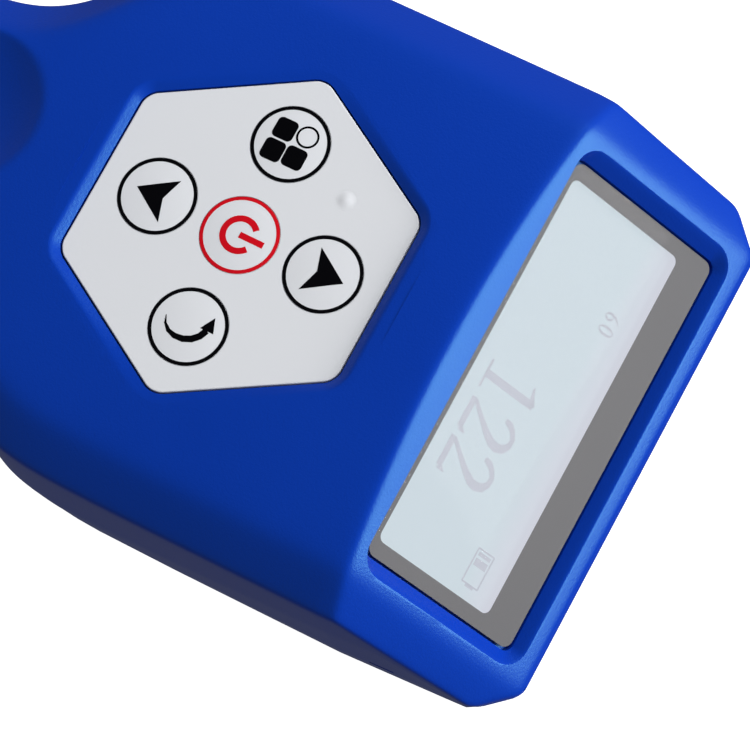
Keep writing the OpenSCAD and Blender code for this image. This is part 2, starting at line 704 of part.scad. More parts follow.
module lamp_pip() {
    ball = (pip_r * pip_r + pip_h * pip_h) / (2 * pip_h);
    dome = [for (k = [6:-1:0]) let (x = pip_r * k / 6)
        [x, panel_z + pip_h - ball + sqrt(ball * ball - x * x)]];
    color([0.9, 0.9, 0.92]) on_keypad() translate([-pip_at, pip_at, 0]) rotate_extrude()
        polygon(concat([[0, board_z], [pip_r, board_z]], dome));
}

module dome_switches() {
    ball = (dome_r * dome_r + dome_h * dome_h) / (2 * dome_h);
    color(steel) on_keypad() for (k = keys) translate([k[0], k[1], board_z]) rotate_extrude()
        polygon(concat([[0, 0]], [for (i = [6:-1:0]) let (x = dome_r * i / 6)
            [x, dome_h - ball + sqrt(ball * ball - x * x)]]));
}

module main_board() {
    color([0.1, 0.4, 0.2]) on_keypad() difference() {
        translate([-board_x, board_tail, board_under])
            cube([2 * board_x, board_head - board_tail, board_t]);
        for (s = board_screws) translate([s[0], s[1], board_under - sliver])
            cylinder(r = board_screw_r + 2 * screw_gap, h = board_t + 2 * sliver);
        for (s = screw_spots) translate([s[0], s[1], board_under - sliver])
            cylinder(r = boss_r + boss_room, h = board_t + 2 * sliver);
    }
}

module processor() {
    color(black) on_keypad() translate([chip_at[0], chip_at[1], board_under - chip_t / 2])
        cube([chip_w, chip_w, chip_t], center = true);
}

module buzzer() {
    color(black) on_keypad() translate([buzzer_at[0], buzzer_at[1], board_under - buzzer_h])
    difference() {
        cylinder(r = buzzer_r, h = buzzer_h);
        translate([0, 0, -sliver]) cylinder(r = buzzer_r / 4, h = buzzer_h / 3);
    }
}

module probe_socket() {
    color("ivory") on_keypad() translate([-socket_w / 2, board_tail, board_under - socket_h])
        cube([socket_w, socket_l, socket_h]);
}

module probe_lead() {
    n = len(lead_route);
    color(black) on_keypad() loft([for (i = [0:n - 1])
        let (p = lead_route[i], run = lead_route[min(i + 1, n - 1)] - lead_route[max(i - 1, 0)])
        let (u = i % (n - 1) ? run / norm(run) : [1, 0])
        [for (a = [0:45:315]) let (up = lead_r * sin(a))
            [lead_r * cos(a), p[0] - up * u[1], p[1] + up * u[0]]]]);
}

module probe_sleeve() {
    color(steel) difference() {
        union() {
            probe_rod(sleeve_r, sleeve_tip, sleeve_end);
            probe_rod(collar_r, wall - tail_reach + plunger_gap,
                wall - tail_reach + plunger_gap + collar_t);
        }
        probe_rod(nose_r + plunger_gap, sleeve_tip - sliver, sleeve_end + sliver);
        probe_rod(sleeve_bore, sleeve_tip + sleeve_lip, sleeve_end + sliver);
        on_keypad() translate([0, sleeve_tip, probe_z]) rotate([45, 0, 0])
            cube([4 * sleeve_r, sqrt(2) * vee_depth, sqrt(2) * vee_depth], center = true);
    }
}

module probe_plunger() {
    color(black) difference() {
        union() {
            probe_rod(plunger_r, shoulder_at, plunger_end);
            probe_rod(nose_r, sleeve_tip - nose_out, shoulder_at + sliver);
        }
        probe_rod(tip_r, sleeve_tip - nose_out - sliver, plunger_end);
        probe_rod(coil_cup, shoulder_at + cup_floor, plunger_end + sliver);
    }
}

module probe_tip() {
    color(steel) on_keypad() translate([0, sleeve_tip - nose_out - tip_out, probe_z]) rotate([-90, 0, 0])
        rotate_extrude() polygon(concat(
            [for (a = [-90:15:0]) [tip_r * cos(a), tip_r + tip_r * sin(a)]],
            [[tip_r, plunger_l], [0, plunger_l]]));
}

module probe_coil() {
    color([0.72, 0.4, 0.2]) difference() {
        probe_rod(coil_cup - plunger_gap, shoulder_at + cup_floor, plunger_end - coil_back);
        probe_rod(tip_r + plunger_gap, shoulder_at, plunger_end);
    }
}

module probe_spring() {
    color(steel) on_keypad() translate([0, plunger_end + spring_wire, probe_z]) rotate([-90, 0, 0])
        coil(spring_r, spring_r, cap_at - plunger_end - 2 * spring_wire, spring_turns, spring_wire);
}

module probe_cap() {
    color(black) difference() {
        probe_rod(sleeve_bore, cap_at, cap_at + cap_t);
        probe_rod(lead_r / 2, cap_at - sliver, cap_at + cap_t / 2);
    }
}

// Cell along Y with its nub at the end that side points to
module cell(x, side) {
    color([0.75, 0.55, 0.25]) on_keypad() translate([x, -side * cell_l / 2, cell_z])
    rotate([-side * 90, 0, 0]) {
        cylinder(d = cell_d, h = cell_l - nub_l);
        cylinder(r = nub_r, h = cell_l);
    }
}

module left_cell() { cell(-cell_x, 1); }
module right_cell() { cell(cell_x, -1); }

module contact_springs() {
    coil_l = contact_room - contact_t - 2 * contact_wire - contact_play;
    color(steel) on_keypad() for (side = [-1, 1]) translate([side * cell_x, side * bay_y, cell_z]) {
        translate([-contact_w / 2, side > 0 ? -contact_t : 0, -contact_w / 2])
            cube([contact_w, contact_t, contact_w]);
        translate([0, -side * (contact_t + contact_wire), 0]) rotate([side * 90, 0, 0])
            coil(contact_w / 2 - 2 * contact_wire, contact_w / 4, coil_l, 3, contact_wire);
    }
}

// Bowed strips: outer edge of the bow first, then back along its inner edge
module contact_leaves() {
    bow = contact_room - contact_play;
    high = contact_w / 2;
    in = bow - contact_t;
    outer = [[0, -high], [contact_t, -high], [bow, -high / 3], [bow, high / 3], [contact_t, high], [0, high]];
    inner = [[0, high - contact_t], [in, high / 4], [in, -high / 4], [0, contact_t - high]];
    color(steel) on_keypad() for (side = [-1, 1]) translate([-side * cell_x, side * bay_y, cell_z])
        mirror([0, side > 0 ? 1 : 0, 0]) rotate([90, 0, 90]) translate([0, 0, -contact_w / 2])
        linear_extrude(contact_w) polygon(concat(outer, inner));
}

module board_screws() {
    color(steel) on_keypad() for (s = board_screws) translate([s[0], s[1], board_under]) {
        cylinder(r = board_screw_r, h = board_t + board_bite);
        translate([0, 0, -board_head_h]) cylinder(r = board_head_r, h = board_head_h);
    }
}

module case_screws() {
    color(steel) on_keypad() for (s = screw_spots) translate([s[0], s[1], screw_floor]) {
        cylinder(r = screw_r, h = seam_z - screw_floor + screw_bite);
        translate([0, 0, -screw_head_h]) difference() {
            cylinder(r = screw_head_r, h = screw_head_h);
            for (a = [0, 90]) rotate(a) translate([-0.6 * screw_head_r, -cross_w / 2, -sliver])
                cube([1.2 * screw_head_r, cross_w, sliver + cross_depth]);
        }
    }
}

front_shell();
rear_shell();
battery_door();
display_lens();
display_glass();
backlight();
display_tray();
display_flex();
keypad_panel();
power_key();
menu_key();
back_key();
up_key();
down_key();
lamp_pip();
dome_switches();
main_board();
processor();
buzzer();
probe_socket();
probe_lead();
probe_sleeve();
probe_plunger();
probe_tip();
probe_coil();
probe_spring();
probe_cap();
left_cell();
right_cell();
contact_springs();
contact_leaves();
board_screws();
case_screws();
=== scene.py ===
import bpy
import bmesh
import math
from mathutils import Matrix, Vector


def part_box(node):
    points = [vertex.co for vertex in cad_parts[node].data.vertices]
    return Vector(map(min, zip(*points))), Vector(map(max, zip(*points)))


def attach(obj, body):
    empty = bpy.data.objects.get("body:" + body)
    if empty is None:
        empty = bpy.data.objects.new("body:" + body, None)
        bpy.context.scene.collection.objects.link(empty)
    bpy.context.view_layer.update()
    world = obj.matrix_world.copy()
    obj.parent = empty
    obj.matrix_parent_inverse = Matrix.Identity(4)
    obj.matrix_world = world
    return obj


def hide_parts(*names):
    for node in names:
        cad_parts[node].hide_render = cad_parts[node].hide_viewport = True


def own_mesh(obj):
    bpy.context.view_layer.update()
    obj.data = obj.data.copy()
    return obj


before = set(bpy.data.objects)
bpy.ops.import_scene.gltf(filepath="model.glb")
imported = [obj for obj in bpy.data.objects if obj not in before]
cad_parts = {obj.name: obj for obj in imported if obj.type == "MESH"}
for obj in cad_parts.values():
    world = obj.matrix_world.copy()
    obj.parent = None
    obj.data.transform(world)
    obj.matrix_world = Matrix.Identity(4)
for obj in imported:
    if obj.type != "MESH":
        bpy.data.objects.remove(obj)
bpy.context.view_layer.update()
scene = bpy.context.scene
mm = 0.001

shellLow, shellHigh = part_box("front_shell")
padLow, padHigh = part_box("keypad_panel")
padY = (padLow.y + padHigh.y) / 2 / mm
panelZ = padHigh.z / mm
padUnder = padLow.z / mm
padR = (padHigh.y - padLow.y) / 2 / mm / math.cos(math.radians(30))
atPad = Matrix.Scale(mm, 4) @ Matrix.Translation((0, padY, 0))  # millimetres about the keypad centre
print("frame loaded, keypad centre at", round(padY, 3), "mm")


# camera, light and floor
view = {"at": (0.10721, 0.15104, 0.47539), "right": (-0.4708, 0.87299, -0.12743),
        "ahead": (-0.21131, -0.25182, -0.94442), "lens": 211.2, "sensor": 36}
lamps = {  # place, size and power of each soft box, all aimed at the keypad
    "headBox": {"at": (-0.38, 1.05, 0.38), "size": 0.64, "power": 20, "gloss": True},
    "sideBox": {"at": (-0.78, 0.16, 0.72), "size": 0.6, "power": 6.1, "gloss": False}}
studio = {"worldColor": (1, 1, 1, 1), "worldPower": 0.36, "lowPower": 0.14, "dusk": -0.3, "floorHalf": 3.0,
          "floorGlow": 1.0, "floorZ": -0.00005}


def addCamera():
    back = -Vector(view["ahead"]).normalized()
    right = Vector(view["right"])
    right = (right - back * right.dot(back)).normalized()
    turn = Matrix((right, back.cross(right), back)).transposed().to_4x4()
    eye = bpy.data.objects.new("photoCamera", bpy.data.cameras.new("photoCamera"))
    eye.data.sensor_width = view["sensor"]
    eye.data.lens = view["lens"]
    eye.data.clip_start = 0.01
    eye.matrix_world = Matrix.Translation(view["at"]) @ turn
    scene.collection.objects.link(eye)
    scene.camera = eye


def addLamps():
    aim = Vector((0, padY * mm, panelZ * mm))
    for name, lamp in lamps.items():
        light = bpy.data.lights.new(name, "AREA")
        light.size = lamp["size"]
        light.energy = lamp["power"]
        box = bpy.data.objects.new(name, light)
        box.visible_glossy = lamp["gloss"]
        box.location = lamp["at"]
        box.rotation_euler = (aim - Vector(lamp["at"])).to_track_quat("-Z", "Y").to_euler()
        scene.collection.objects.link(box)
    world = bpy.data.worlds.new("studio")
    world.use_nodes = True
    world.node_tree.nodes["Background"].inputs["Color"].default_value = studio["worldColor"]
    nodes, links = world.node_tree.nodes, world.node_tree.links
    spot = nodes.new("ShaderNodeTexCoord")
    split = nodes.new("ShaderNodeSeparateXYZ")
    height = nodes.new("ShaderNodeMapRange")  # dimmer below the horizon
    height.inputs["From Min"].default_value = studio["dusk"]
    height.inputs["From Max"].default_value = 0
    height.inputs["To Min"].default_value = studio["lowPower"]
    height.inputs["To Max"].default_value = studio["worldPower"]
    links.new(spot.outputs["Generated"], split.inputs["Vector"])
    links.new(split.outputs["Z"], height.inputs["Value"])
    links.new(height.outputs["Result"], nodes["Background"].inputs["Strength"])
    scene.world = world
    scene.view_settings.view_transform = "Standard"


# shader helpers and the groups that several finishes share
def newMaterial(name):
    made = bpy.data.materials.new(name)
    made.use_nodes = True
    return made, made.node_tree.nodes, made.node_tree.links, made.node_tree.nodes["Principled BSDF"]


def newGroup(name, inputs, outputs):
    tree = bpy.data.node_groups.new(name, "ShaderNodeTree")
    for label, kind, value in inputs:
        tree.interface.new_socket(label, in_out="INPUT", socket_type=kind).default_value = value
    for label, kind in outputs:
        tree.interface.new_socket(label, in_out="OUTPUT", socket_type=kind)
    return tree, tree.nodes.new("NodeGroupInput"), tree.nodes.new("NodeGroupOutput")


def addNode(nodes, kind, **values):
    node = nodes.new(kind)
    for key, value in values.items():
        setattr(node, key, value)
    return node


def placeGroup(nodes, tree, **values):
    node = nodes.new("ShaderNodeGroup")
    node.node_tree = tree
    for key, value in values.items():
        node.inputs[key].default_value = value
    return node


# fine moulded texture: a height for the bump and a slow cloud for colour and gloss
def makeGrainGroup():
    tree, start, end = newGroup(
        "mouldGrain",
        [("Grain Scale", "NodeSocketFloat", 4000.0), ("Cloud Scale", "NodeSocketFloat", 45.0)],
        [("Height", "NodeSocketFloat"), ("Cloud", "NodeSocketFloat")])
    nodes, links = tree.nodes, tree.links
    spot = nodes.new("ShaderNodeTexCoord")
    grain = nodes.new("ShaderNodeTexNoise")
    grain.inputs["Detail"].default_value = 3
    grain.inputs["Roughness"].default_value = 0.6
    cloud = nodes.new("ShaderNodeTexNoise")
    cloud.inputs["Detail"].default_value = 4
    links.new(spot.outputs["Object"], grain.inputs["Vector"])
    links.new(spot.outputs["Object"], cloud.inputs["Vector"])
    links.new(start.outputs["Grain Scale"], grain.inputs["Scale"])
    links.new(start.outputs["Cloud Scale"], cloud.inputs["Scale"])
    links.new(grain.outputs["Fac"], end.inputs["Height"])
    links.new(cloud.outputs["Fac"], end.inputs["Cloud"])
    return tree


mouldGrain = makeGrainGroup()


# a moulded finish: two near colours, two near glosses and a grain bump
def mouldedFinish(name, look):
    made, nodes, links, shader = newMaterial(name)
    grain = placeGroup(nodes, mouldGrain, **{"Grain Scale": look["grain"], "Cloud Scale": look["cloud"]})
    tone = addNode(nodes, "ShaderNodeMix", data_type="RGBA")
    tone.inputs["A"].default_value = (*look["dark"], 1)
    tone.inputs["B"].default_value = (*look["light"], 1)
    gloss = nodes.new("ShaderNodeMapRange")
    gloss.inputs["To Min"].default_value = look["rough"][0]
    gloss.inputs["To Max"].default_value = look["rough"][1]
    bump = nodes.new("ShaderNodeBump")
    bump.inputs["Strength"].default_value = look["bump"]
    bump.inputs["Distance"].default_value = look["depth"]
    links.new(grain.outputs["Cloud"], tone.inputs["Factor"])
    links.new(grain.outputs["Cloud"], gloss.inputs["Value"])
    links.new(grain.outputs["Height"], bump.inputs["Height"])
    links.new(tone.outputs["Result"], shader.inputs["Base Color"])
    links.new(gloss.outputs["Result"], shader.inputs["Roughness"])
    links.new(bump.outputs["Normal"], shader.inputs["Normal"])
    for socket, value in look.get("fixed", {}).items():
        shader.inputs[socket].default_value = value
    return made


looks = {
    "caseBlue": {"dark": (0.0005, 0.024, 0.290), "light": (0.001, 0.028, 0.325), "rough": (0.31, 0.39),
                 "grain": 3500, "cloud": 40, "bump": 0.4, "depth": 0.00006,
                 "fixed": {"Specular IOR Level": 0.34, "Specular Tint": (0.26, 0.82, 1.0, 1)}},
    "keyFilm": {"dark": (0.60, 0.615, 0.645), "light": (0.62, 0.635, 0.665), "rough": (0.42, 0.50),
                "grain": 5000, "cloud": 60, "bump": 0.12, "depth": 0.00004,
                "fixed": {"Specular IOR Level": 0.12}},
    "printBlack": {"dark": (0.001, 0.001, 0.0015), "light": (0.002, 0.002, 0.003), "rough": (0.45, 0.55),
                   "grain": 6000, "cloud": 90, "bump": 0.1, "depth": 0.00003,
                   "fixed": {"Specular IOR Level": 0.02}},
    "printRed": {"dark": (0.47, 0.002, 0.008), "light": (0.54, 0.003, 0.011), "rough": (0.45, 0.55),
                 "grain": 6000, "cloud": 90, "bump": 0.1, "depth": 0.00003,
                 "fixed": {"Specular IOR Level": 0.08}},
    "lensGrey": {"dark": (0.071, 0.070, 0.074), "light": (0.078, 0.077, 0.081), "rough": (0.30, 0.36),
                 "grain": 6000, "cloud": 50, "bump": 0.03, "depth": 0.00002,
                 "fixed": {"Specular IOR Level": 0.1}},
    # the figures glow like the glass around them: partly backlight, partly painted lamp light
    "lcdInk": {"dark": (0.055, 0.055, 0.07), "light": (0.065, 0.065, 0.08), "rough": (0.25, 0.32),
               "grain": 6000, "cloud": 80, "bump": 0.03, "depth": 0.00002,
               "fixed": {"Specular IOR Level": 0.1, "Emission Color": (0.50, 0.53, 0.60, 1),
                         "Emission Strength": 0.76}},
    "blackMould": {"dark": (0.012, 0.012, 0.014), "light": (0.020, 0.020, 0.022), "rough": (0.45, 0.6),
                   "grain": 2500, "cloud": 60, "bump": 0.3, "depth": 0.00006},
    "milkyGuide": {"dark": (0.72, 0.73, 0.75), "light": (0.80, 0.81, 0.82), "rough": (0.18, 0.26),
                   "grain": 3000, "cloud": 70, "bump": 0.05, "depth": 0.00003, "fixed": {"Coat Weight": 0.4}},
    "boardGreen": {"dark": (0.010, 0.10, 0.035), "light": (0.022, 0.17, 0.06), "rough": (0.28, 0.4),
                   "grain": 1800, "cloud": 120, "bump": 0.2, "depth": 0.00005},
    "amberFlex": {"dark": (0.42, 0.20, 0.03), "light": (0.55, 0.29, 0.05), "rough": (0.25, 0.35),
                  "grain": 2500, "cloud": 110, "bump": 0.08, "depth": 0.00003},
    "cellWrap": {"dark": (0.40, 0.24, 0.05), "light": (0.55, 0.36, 0.09), "rough": (0.22, 0.3),
                 "grain": 2200, "cloud": 80, "bump": 0.05, "depth": 0.00003, "fixed": {"Metallic": 0.6}},
    "floorPale": {"dark": (0.44, 0.44, 0.44), "light": (0.46, 0.46, 0.46), "rough": (0.6, 0.7),
                  "grain": 900, "cloud": 6, "bump": 0.02, "depth": 0.0001}}
finishes = {name: mouldedFinish(name, look) for name, look in looks.items()}


# turned or drawn metal: fine lines along one axis over a slow cloud
def metalFinish(name, look):
    made, nodes, links, shader = newMaterial(name)
    spot = nodes.new("ShaderNodeTexCoord")
    stretch = nodes.new("ShaderNodeMapping")
    stretch.inputs["Scale"].default_value = look["lines"]
    lines = nodes.new("ShaderNodeTexNoise")
    lines.inputs["Scale"].default_value = 1.0
    lines.inputs["Detail"].default_value = 4
    grain = placeGroup(nodes, mouldGrain, **{"Grain Scale": 2500, "Cloud Scale": 130})
    tone = addNode(nodes, "ShaderNodeMix", data_type="RGBA")
    tone.inputs["A"].default_value = (*look["dark"], 1)
    tone.inputs["B"].default_value = (*look["light"], 1)
    gloss = nodes.new("ShaderNodeMapRange")
    gloss.inputs["To Min"].default_value = look["rough"][0]
    gloss.inputs["To Max"].default_value = look["rough"][1]
    bump = nodes.new("ShaderNodeBump")
    bump.inputs["Strength"].default_value = look["bump"]
    bump.inputs["Distance"].default_value = 0.00003
    links.new(spot.outputs["Object"], stretch.inputs["Vector"])
    links.new(stretch.outputs["Vector"], lines.inputs["Vector"])
    links.new(grain.outputs["Cloud"], tone.inputs["Factor"])
    links.new(lines.outputs["Fac"], gloss.inputs["Value"])
    links.new(lines.outputs["Fac"], bump.inputs["Height"])
    links.new(tone.outputs["Result"], shader.inputs["Base Color"])
    links.new(gloss.outputs["Result"], shader.inputs["Roughness"])
    links.new(bump.outputs["Normal"], shader.inputs["Normal"])
    shader.inputs["Metallic"].default_value = 1
    return made


metalLooks = {
    "turnedSteel": {"dark": (0.50, 0.51, 0.53), "light": (0.62, 0.63, 0.65), "rough": (0.22, 0.38),
                    "lines": (60, 6000, 60), "bump": 0.25},
    "springSteel": {"dark": (0.45, 0.45, 0.46), "light": (0.60, 0.60, 0.61), "rough": (0.2, 0.3),
                    "lines": (900, 900, 900), "bump": 0.1},
    "copperWire": {"dark": (0.50, 0.19, 0.07), "light": (0.66, 0.28, 0.11), "rough": (0.25, 0.4),
                   "lines": (200, 5200, 200), "bump": 0.5}}
finishes.update({name: metalFinish(name, look) for name, look in metalLooks.items()})


# clear lens: see-through head on, more gloss towards grazing angles
clear = {"base": (0.03, 0.032, 0.034), "rough": (0.04, 0.09), "bend": 1.45}


def lensFinish():
    made, nodes, links, shader = newMaterial("lensClear")
    grain = placeGroup(nodes, mouldGrain, **{"Grain Scale": 1500, "Cloud Scale": 70})
    gloss = nodes.new("ShaderNodeMapRange")
    gloss.inputs["To Min"].default_value = clear["rough"][0]
    gloss.inputs["To Max"].default_value = clear["rough"][1]
    edge = nodes.new("ShaderNodeFresnel")
    edge.inputs["IOR"].default_value = clear["bend"]
    links.new(grain.outputs["Cloud"], gloss.inputs["Value"])
    links.new(gloss.outputs["Result"], shader.inputs["Roughness"])
    side = nodes.new("ShaderNodeNewGeometry")  # only faces turned to the eye show
    front = addNode(nodes, "ShaderNodeMath", operation="SUBTRACT")
    front.inputs[0].default_value = 1
    shown = addNode(nodes, "ShaderNodeMath", operation="MULTIPLY")
    links.new(side.outputs["Backfacing"], front.inputs[1])
    links.new(front.outputs["Value"], shown.inputs[0])
    links.new(edge.outputs["Fac"], shown.inputs[1])
    links.new(shown.outputs["Value"], shader.inputs["Alpha"])
    shader.inputs["Base Color"].default_value = (*clear["base"], 1)
    return made


# display glass: pale and glowing, partly for its backlight and partly as painted light for the lamp light it
# would reflect, with a painted lilac shade at its head edge
display = {"near": (0.63, 0.72, 0.78), "far": (0.70, 0.71, 0.80), "headShadeFrom": 0.75, "rough": (0.2, 0.28),
           "base": (0.012, 0.014, 0.015), "backlightAndLampGlow": 0.94}


def displayFinish():
    made, nodes, links, shader = newMaterial("lcdGlass")
    low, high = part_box("display_glass")
    spot = nodes.new("ShaderNodeTexCoord")
    split = nodes.new("ShaderNodeSeparateXYZ")
    share = nodes.new("ShaderNodeMapRange")
    share.inputs["From Min"].default_value = low.y + display["headShadeFrom"] * (high.y - low.y)
    share.inputs["From Max"].default_value = high.y
    # painted shade: the lilac far tone comes in towards the glass's head edge
    tone = addNode(nodes, "ShaderNodeMix", data_type="RGBA")
    tone.inputs["A"].default_value = (*display["near"], 1)
    tone.inputs["B"].default_value = (*display["far"], 1)
    grain = placeGroup(nodes, mouldGrain, **{"Grain Scale": 3000, "Cloud Scale": 60})
    gloss = nodes.new("ShaderNodeMapRange")
    gloss.inputs["To Min"].default_value = display["rough"][0]
    gloss.inputs["To Max"].default_value = display["rough"][1]
    links.new(spot.outputs["Object"], split.inputs["Vector"])
    links.new(split.outputs["Y"], share.inputs["Value"])
    links.new(share.outputs["Result"], tone.inputs["Factor"])
    links.new(tone.outputs["Result"], shader.inputs["Emission Color"])
    links.new(grain.outputs["Cloud"], gloss.inputs["Value"])
    links.new(gloss.outputs["Result"], shader.inputs["Roughness"])
    shader.inputs["Specular IOR Level"].default_value = 0.02
    shader.inputs["Base Color"].default_value = (*display["base"], 1)
    # emission: backlight plus painted lamp light, set high so the glass shows no lamp shadow
    shader.inputs["Emission Strength"].default_value = display["backlightAndLampGlow"]
    return made


# pale floor: bright to the eye from above, clear from below
def glowFloor():
    made = finishes["floorPale"]
    shader = made.node_tree.nodes["Principled BSDF"]
    seen = made.node_tree.nodes.new("ShaderNodeLightPath")
    glow = addNode(made.node_tree.nodes, "ShaderNodeMath", operation="MULTIPLY")
    glow.inputs[1].default_value = studio["floorGlow"]
    side = made.node_tree.nodes.new("ShaderNodeNewGeometry")
    front = addNode(made.node_tree.nodes, "ShaderNodeMath", operation="SUBTRACT")
    front.inputs[0].default_value = 1
    made.node_tree.links.new(side.outputs["Backfacing"], front.inputs[1])
    made.node_tree.links.new(front.outputs["Value"], shader.inputs["Alpha"])
    made.node_tree.links.new(seen.outputs["Is Camera Ray"], glow.inputs[0])
    made.node_tree.links.new(glow.outputs["Value"], shader.inputs["Emission Strength"])
    shader.inputs["Emission Color"].default_value = studio["worldColor"]


glowFloor()
finishes["lensClear"] = lensFinish()
finishes["lcdGlass"] = displayFinish()
print("finishes made:", len(finishes))


# mesh helpers; shapes are drawn in millimetres and placed by a matrix
def newPiece(name, bm, place, body, finish, replaced=(), sharp=30):
    bmesh.ops.transform(bm, matrix=place, verts=bm.verts)
    mesh = bpy.data.meshes.new(name)
    bm.to_mesh(mesh)
    bm.free()
    piece = bpy.data.objects.new(name, mesh)
    scene.collection.objects.link(piece)
    return dressPiece(piece, body, finish, replaced, sharp)


def dressPiece(piece, body, finish, replaced=(), sharp=30):
    mesh = piece.data
    mesh.materials.clear()
    mesh.materials.append(finishes[finish])
    mesh.polygons.foreach_set("material_index", [0] * len(mesh.polygons))
    mesh.polygons.foreach_set("use_smooth", [True] * len(mesh.polygons))
    mesh.set_sharp_from_angle(angle=math.radians(sharp))
    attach(piece, body)
    if replaced:
        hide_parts(*replaced)
    return piece


def turned(profile, steps=72, closed=False):
    bm = bmesh.new()
    points = [bm.verts.new((r, 0, z)) for r, z in profile]
    pairs = list(zip(points, points[1:])) + ([(points[-1], points[0])] if closed else [])
    lines = [bm.edges.new(pair) for pair in pairs]
    bmesh.ops.spin(bm, geom=points + lines, cent=(0, 0, 0), axis=(0, 0, 1), angle=math.tau, steps=steps,
                   use_merge=True)
    bmesh.ops.remove_doubles(bm, verts=bm.verts, dist=0.0005)
    bmesh.ops.recalc_face_normals(bm, faces=bm.faces)
    return bm


def hexLoop(bm, radius, rounding):
    ring = bmesh.ops.create_circle(bm, segments=6, radius=radius)["verts"]
    bmesh.ops.rotate(bm, verts=ring, matrix=Matrix.Rotation(math.radians(90), 3, "Z"))
    return softCorners(bm, ring, rounding / math.tan(math.radians(60)))


def boxLoop(bm, width, length, rounding):
    ring = bmesh.ops.create_circle(bm, segments=4, radius=math.sqrt(0.5))["verts"]
    bmesh.ops.rotate(bm, verts=ring, matrix=Matrix.Rotation(math.radians(45), 3, "Z"))
    bmesh.ops.scale(bm, verts=ring, vec=(width, length, 1))
    return softCorners(bm, ring, rounding)


def softCorners(bm, ring, offset):
    before = set(bm.verts) - set(ring)
    bmesh.ops.bevel(bm, geom=ring, offset=offset, segments=8, profile=0.5, affect="VERTICES", material=-1)
    return [v for v in bm.verts if v not in before]


def loopEdges(ring):
    inside = set(ring)
    return list({e for v in ring for e in v.link_edges if e.other_vert(v) in inside})


# closed solid through a stack of loops
def stacked(bm, rings):
    rows = [loopEdges(ring) for ring in rings]
    for low, high in zip(rows, rows[1:]):
        bmesh.ops.bridge_loops(bm, edges=low + high)
    bmesh.ops.contextual_create(bm, geom=rows[0])
    bmesh.ops.contextual_create(bm, geom=rows[-1])
    bmesh.ops.recalc_face_normals(bm, faces=bm.faces)


def boxPrism(width, length, low, high, rounding):
    bm = bmesh.new()
    rings = []
    for z in (low, high):
        ring = boxLoop(bm, width, length, rounding)
        bmesh.ops.translate(bm, verts=ring, vec=(0, 0, z))
        rings.append(ring)
    stacked(bm, rings)
    return bm


def hexPrism(radius, low, high, rounding):
    bm = bmesh.new()
    rings = []
    for z in (low, high):
        ring = hexLoop(bm, radius, rounding)
        bmesh.ops.translate(bm, verts=ring, vec=(0, 0, z))
        rings.append(ring)
    stacked(bm, rings)
    return bm


def rod(radius, low, high, steps=48):
    return turned([(0, low), (radius, low), (radius, high), (0, high)], steps)


# solid helper object for a boolean; it goes again once the cut is made
def tool(bm, place=Matrix.Identity(4)):
    bmesh.ops.transform(bm, matrix=place, verts=bm.verts)
    bmesh.ops.triangulate(bm, faces=bm.faces)
    mesh = bpy.data.meshes.new("tool")
    bm.to_mesh(mesh)
    bm.free()
    made = bpy.data.objects.new("tool", mesh)
    scene.collection.objects.link(made)
    return made


def carved(base, steps):
    for work, other in steps:
        cut = base.modifiers.new(work, "BOOLEAN")
        cut.operation = work
        cut.solver = "MANIFOLD"
        cut.object = other
    graph = bpy.context.evaluated_depsgraph_get()
    mesh = bpy.data.meshes.new_from_object(base.evaluated_get(graph))
    for gone in [base] + [other for work, other in steps]:
        bpy.data.objects.remove(gone)
    bm = bmesh.new()
    bm.from_mesh(mesh)
    bpy.data.meshes.remove(mesh)
    return bm


# front shell: crowned face, sloped hood, soft side bevels, S-curved shoulders and a finger dish
shell = {"neckW": 26.5, "shoulderY": -25, "shoulderSoft": 3.8, "crownDrop": 1.74, "bevelW": 4.9,
         "bevelDrop": 2.65, "hoodBevelDrop": 3.15, "bevelSoft": 0.7, "hoodBevelSoft": 0.9, "bevelTurn": 8,
         "ridgeY": 26.7, "ridgeSoft": 0.5, "cornerW": 4.2, "cornerL": 4.1, "cornerSoft": 0.8,
         "cornerLean": 0.6, "hoodTaper": 0.8, "noseRound": 0.9, "wallTuck": 0.5, "creaseZ": 13.4,
         "creaseRise": 0.157, "creaseSoft": 0.06, "tailRound": 9, "tailPinch": 4.2, "tailDrop": 4,
         "wall": 2.1, "headLip": 0.8, "edgeRound": 0.45, "edgeZone": 9, "innerRound": 0.2, "lipRound": 0.5,
         "lipMarks": (1.5, 1.25, 1.02, 0.83, 0.67, 0.54, 0.43, 0.34), "dishR": 10.4, "dishDepth": 2.7,
         "dishY": -36.6, "dishSoft": 0.06, "dishBackR": 7.488, "dishBackSink": 0.8, "wellDepth": 0.965,
         "slotY": 32, "slotL": 3, "slotH": 1, "slotDepth": 1, "slotRound": 0.3, "sleeveHole": 6.62}
bodyW = (shellHigh.x - shellLow.x) / mm
headReach = shellHigh.y / mm - padY
tailReach = padY - shellLow.y / mm
seamZ = shellLow.z / mm
caseH = panelZ + shell["wellDepth"]
hoodRise = caseH - seamZ - shell["headLip"]
hoodRun = headReach - shell["ridgeY"]
slope = math.atan2(hoodRise, hoodRun)
hoodLength = math.hypot(hoodRise, hoodRun)
crownR = (bodyW / 2 - shell["bevelW"]) ** 2 / (2 * shell["crownDrop"])
dishBall = (shell["dishR"] ** 2 + shell["dishDepth"] ** 2) / (2 * shell["dishDepth"])
atDish = atPad @ Matrix.Translation((0, shell["dishY"], 0))
onHood = atPad @ Matrix.Translation((0, shell["ridgeY"], caseH)) @ Matrix.Rotation(-slope, 4, "X")


def softOver(u, k):  # u where it is above nought, with a soft turn
    return (u + math.hypot(u, k)) / 2


def softMin(a, b, k):  # the lower of two, with a soft turn between them
    return (a + b - math.hypot(a - b, k)) / 2


def softRamp(u, k):  # as softOver, but exact outside the turn
    return 0 if u < -k else u if u > k else (u + k) ** 2 / (4 * k)


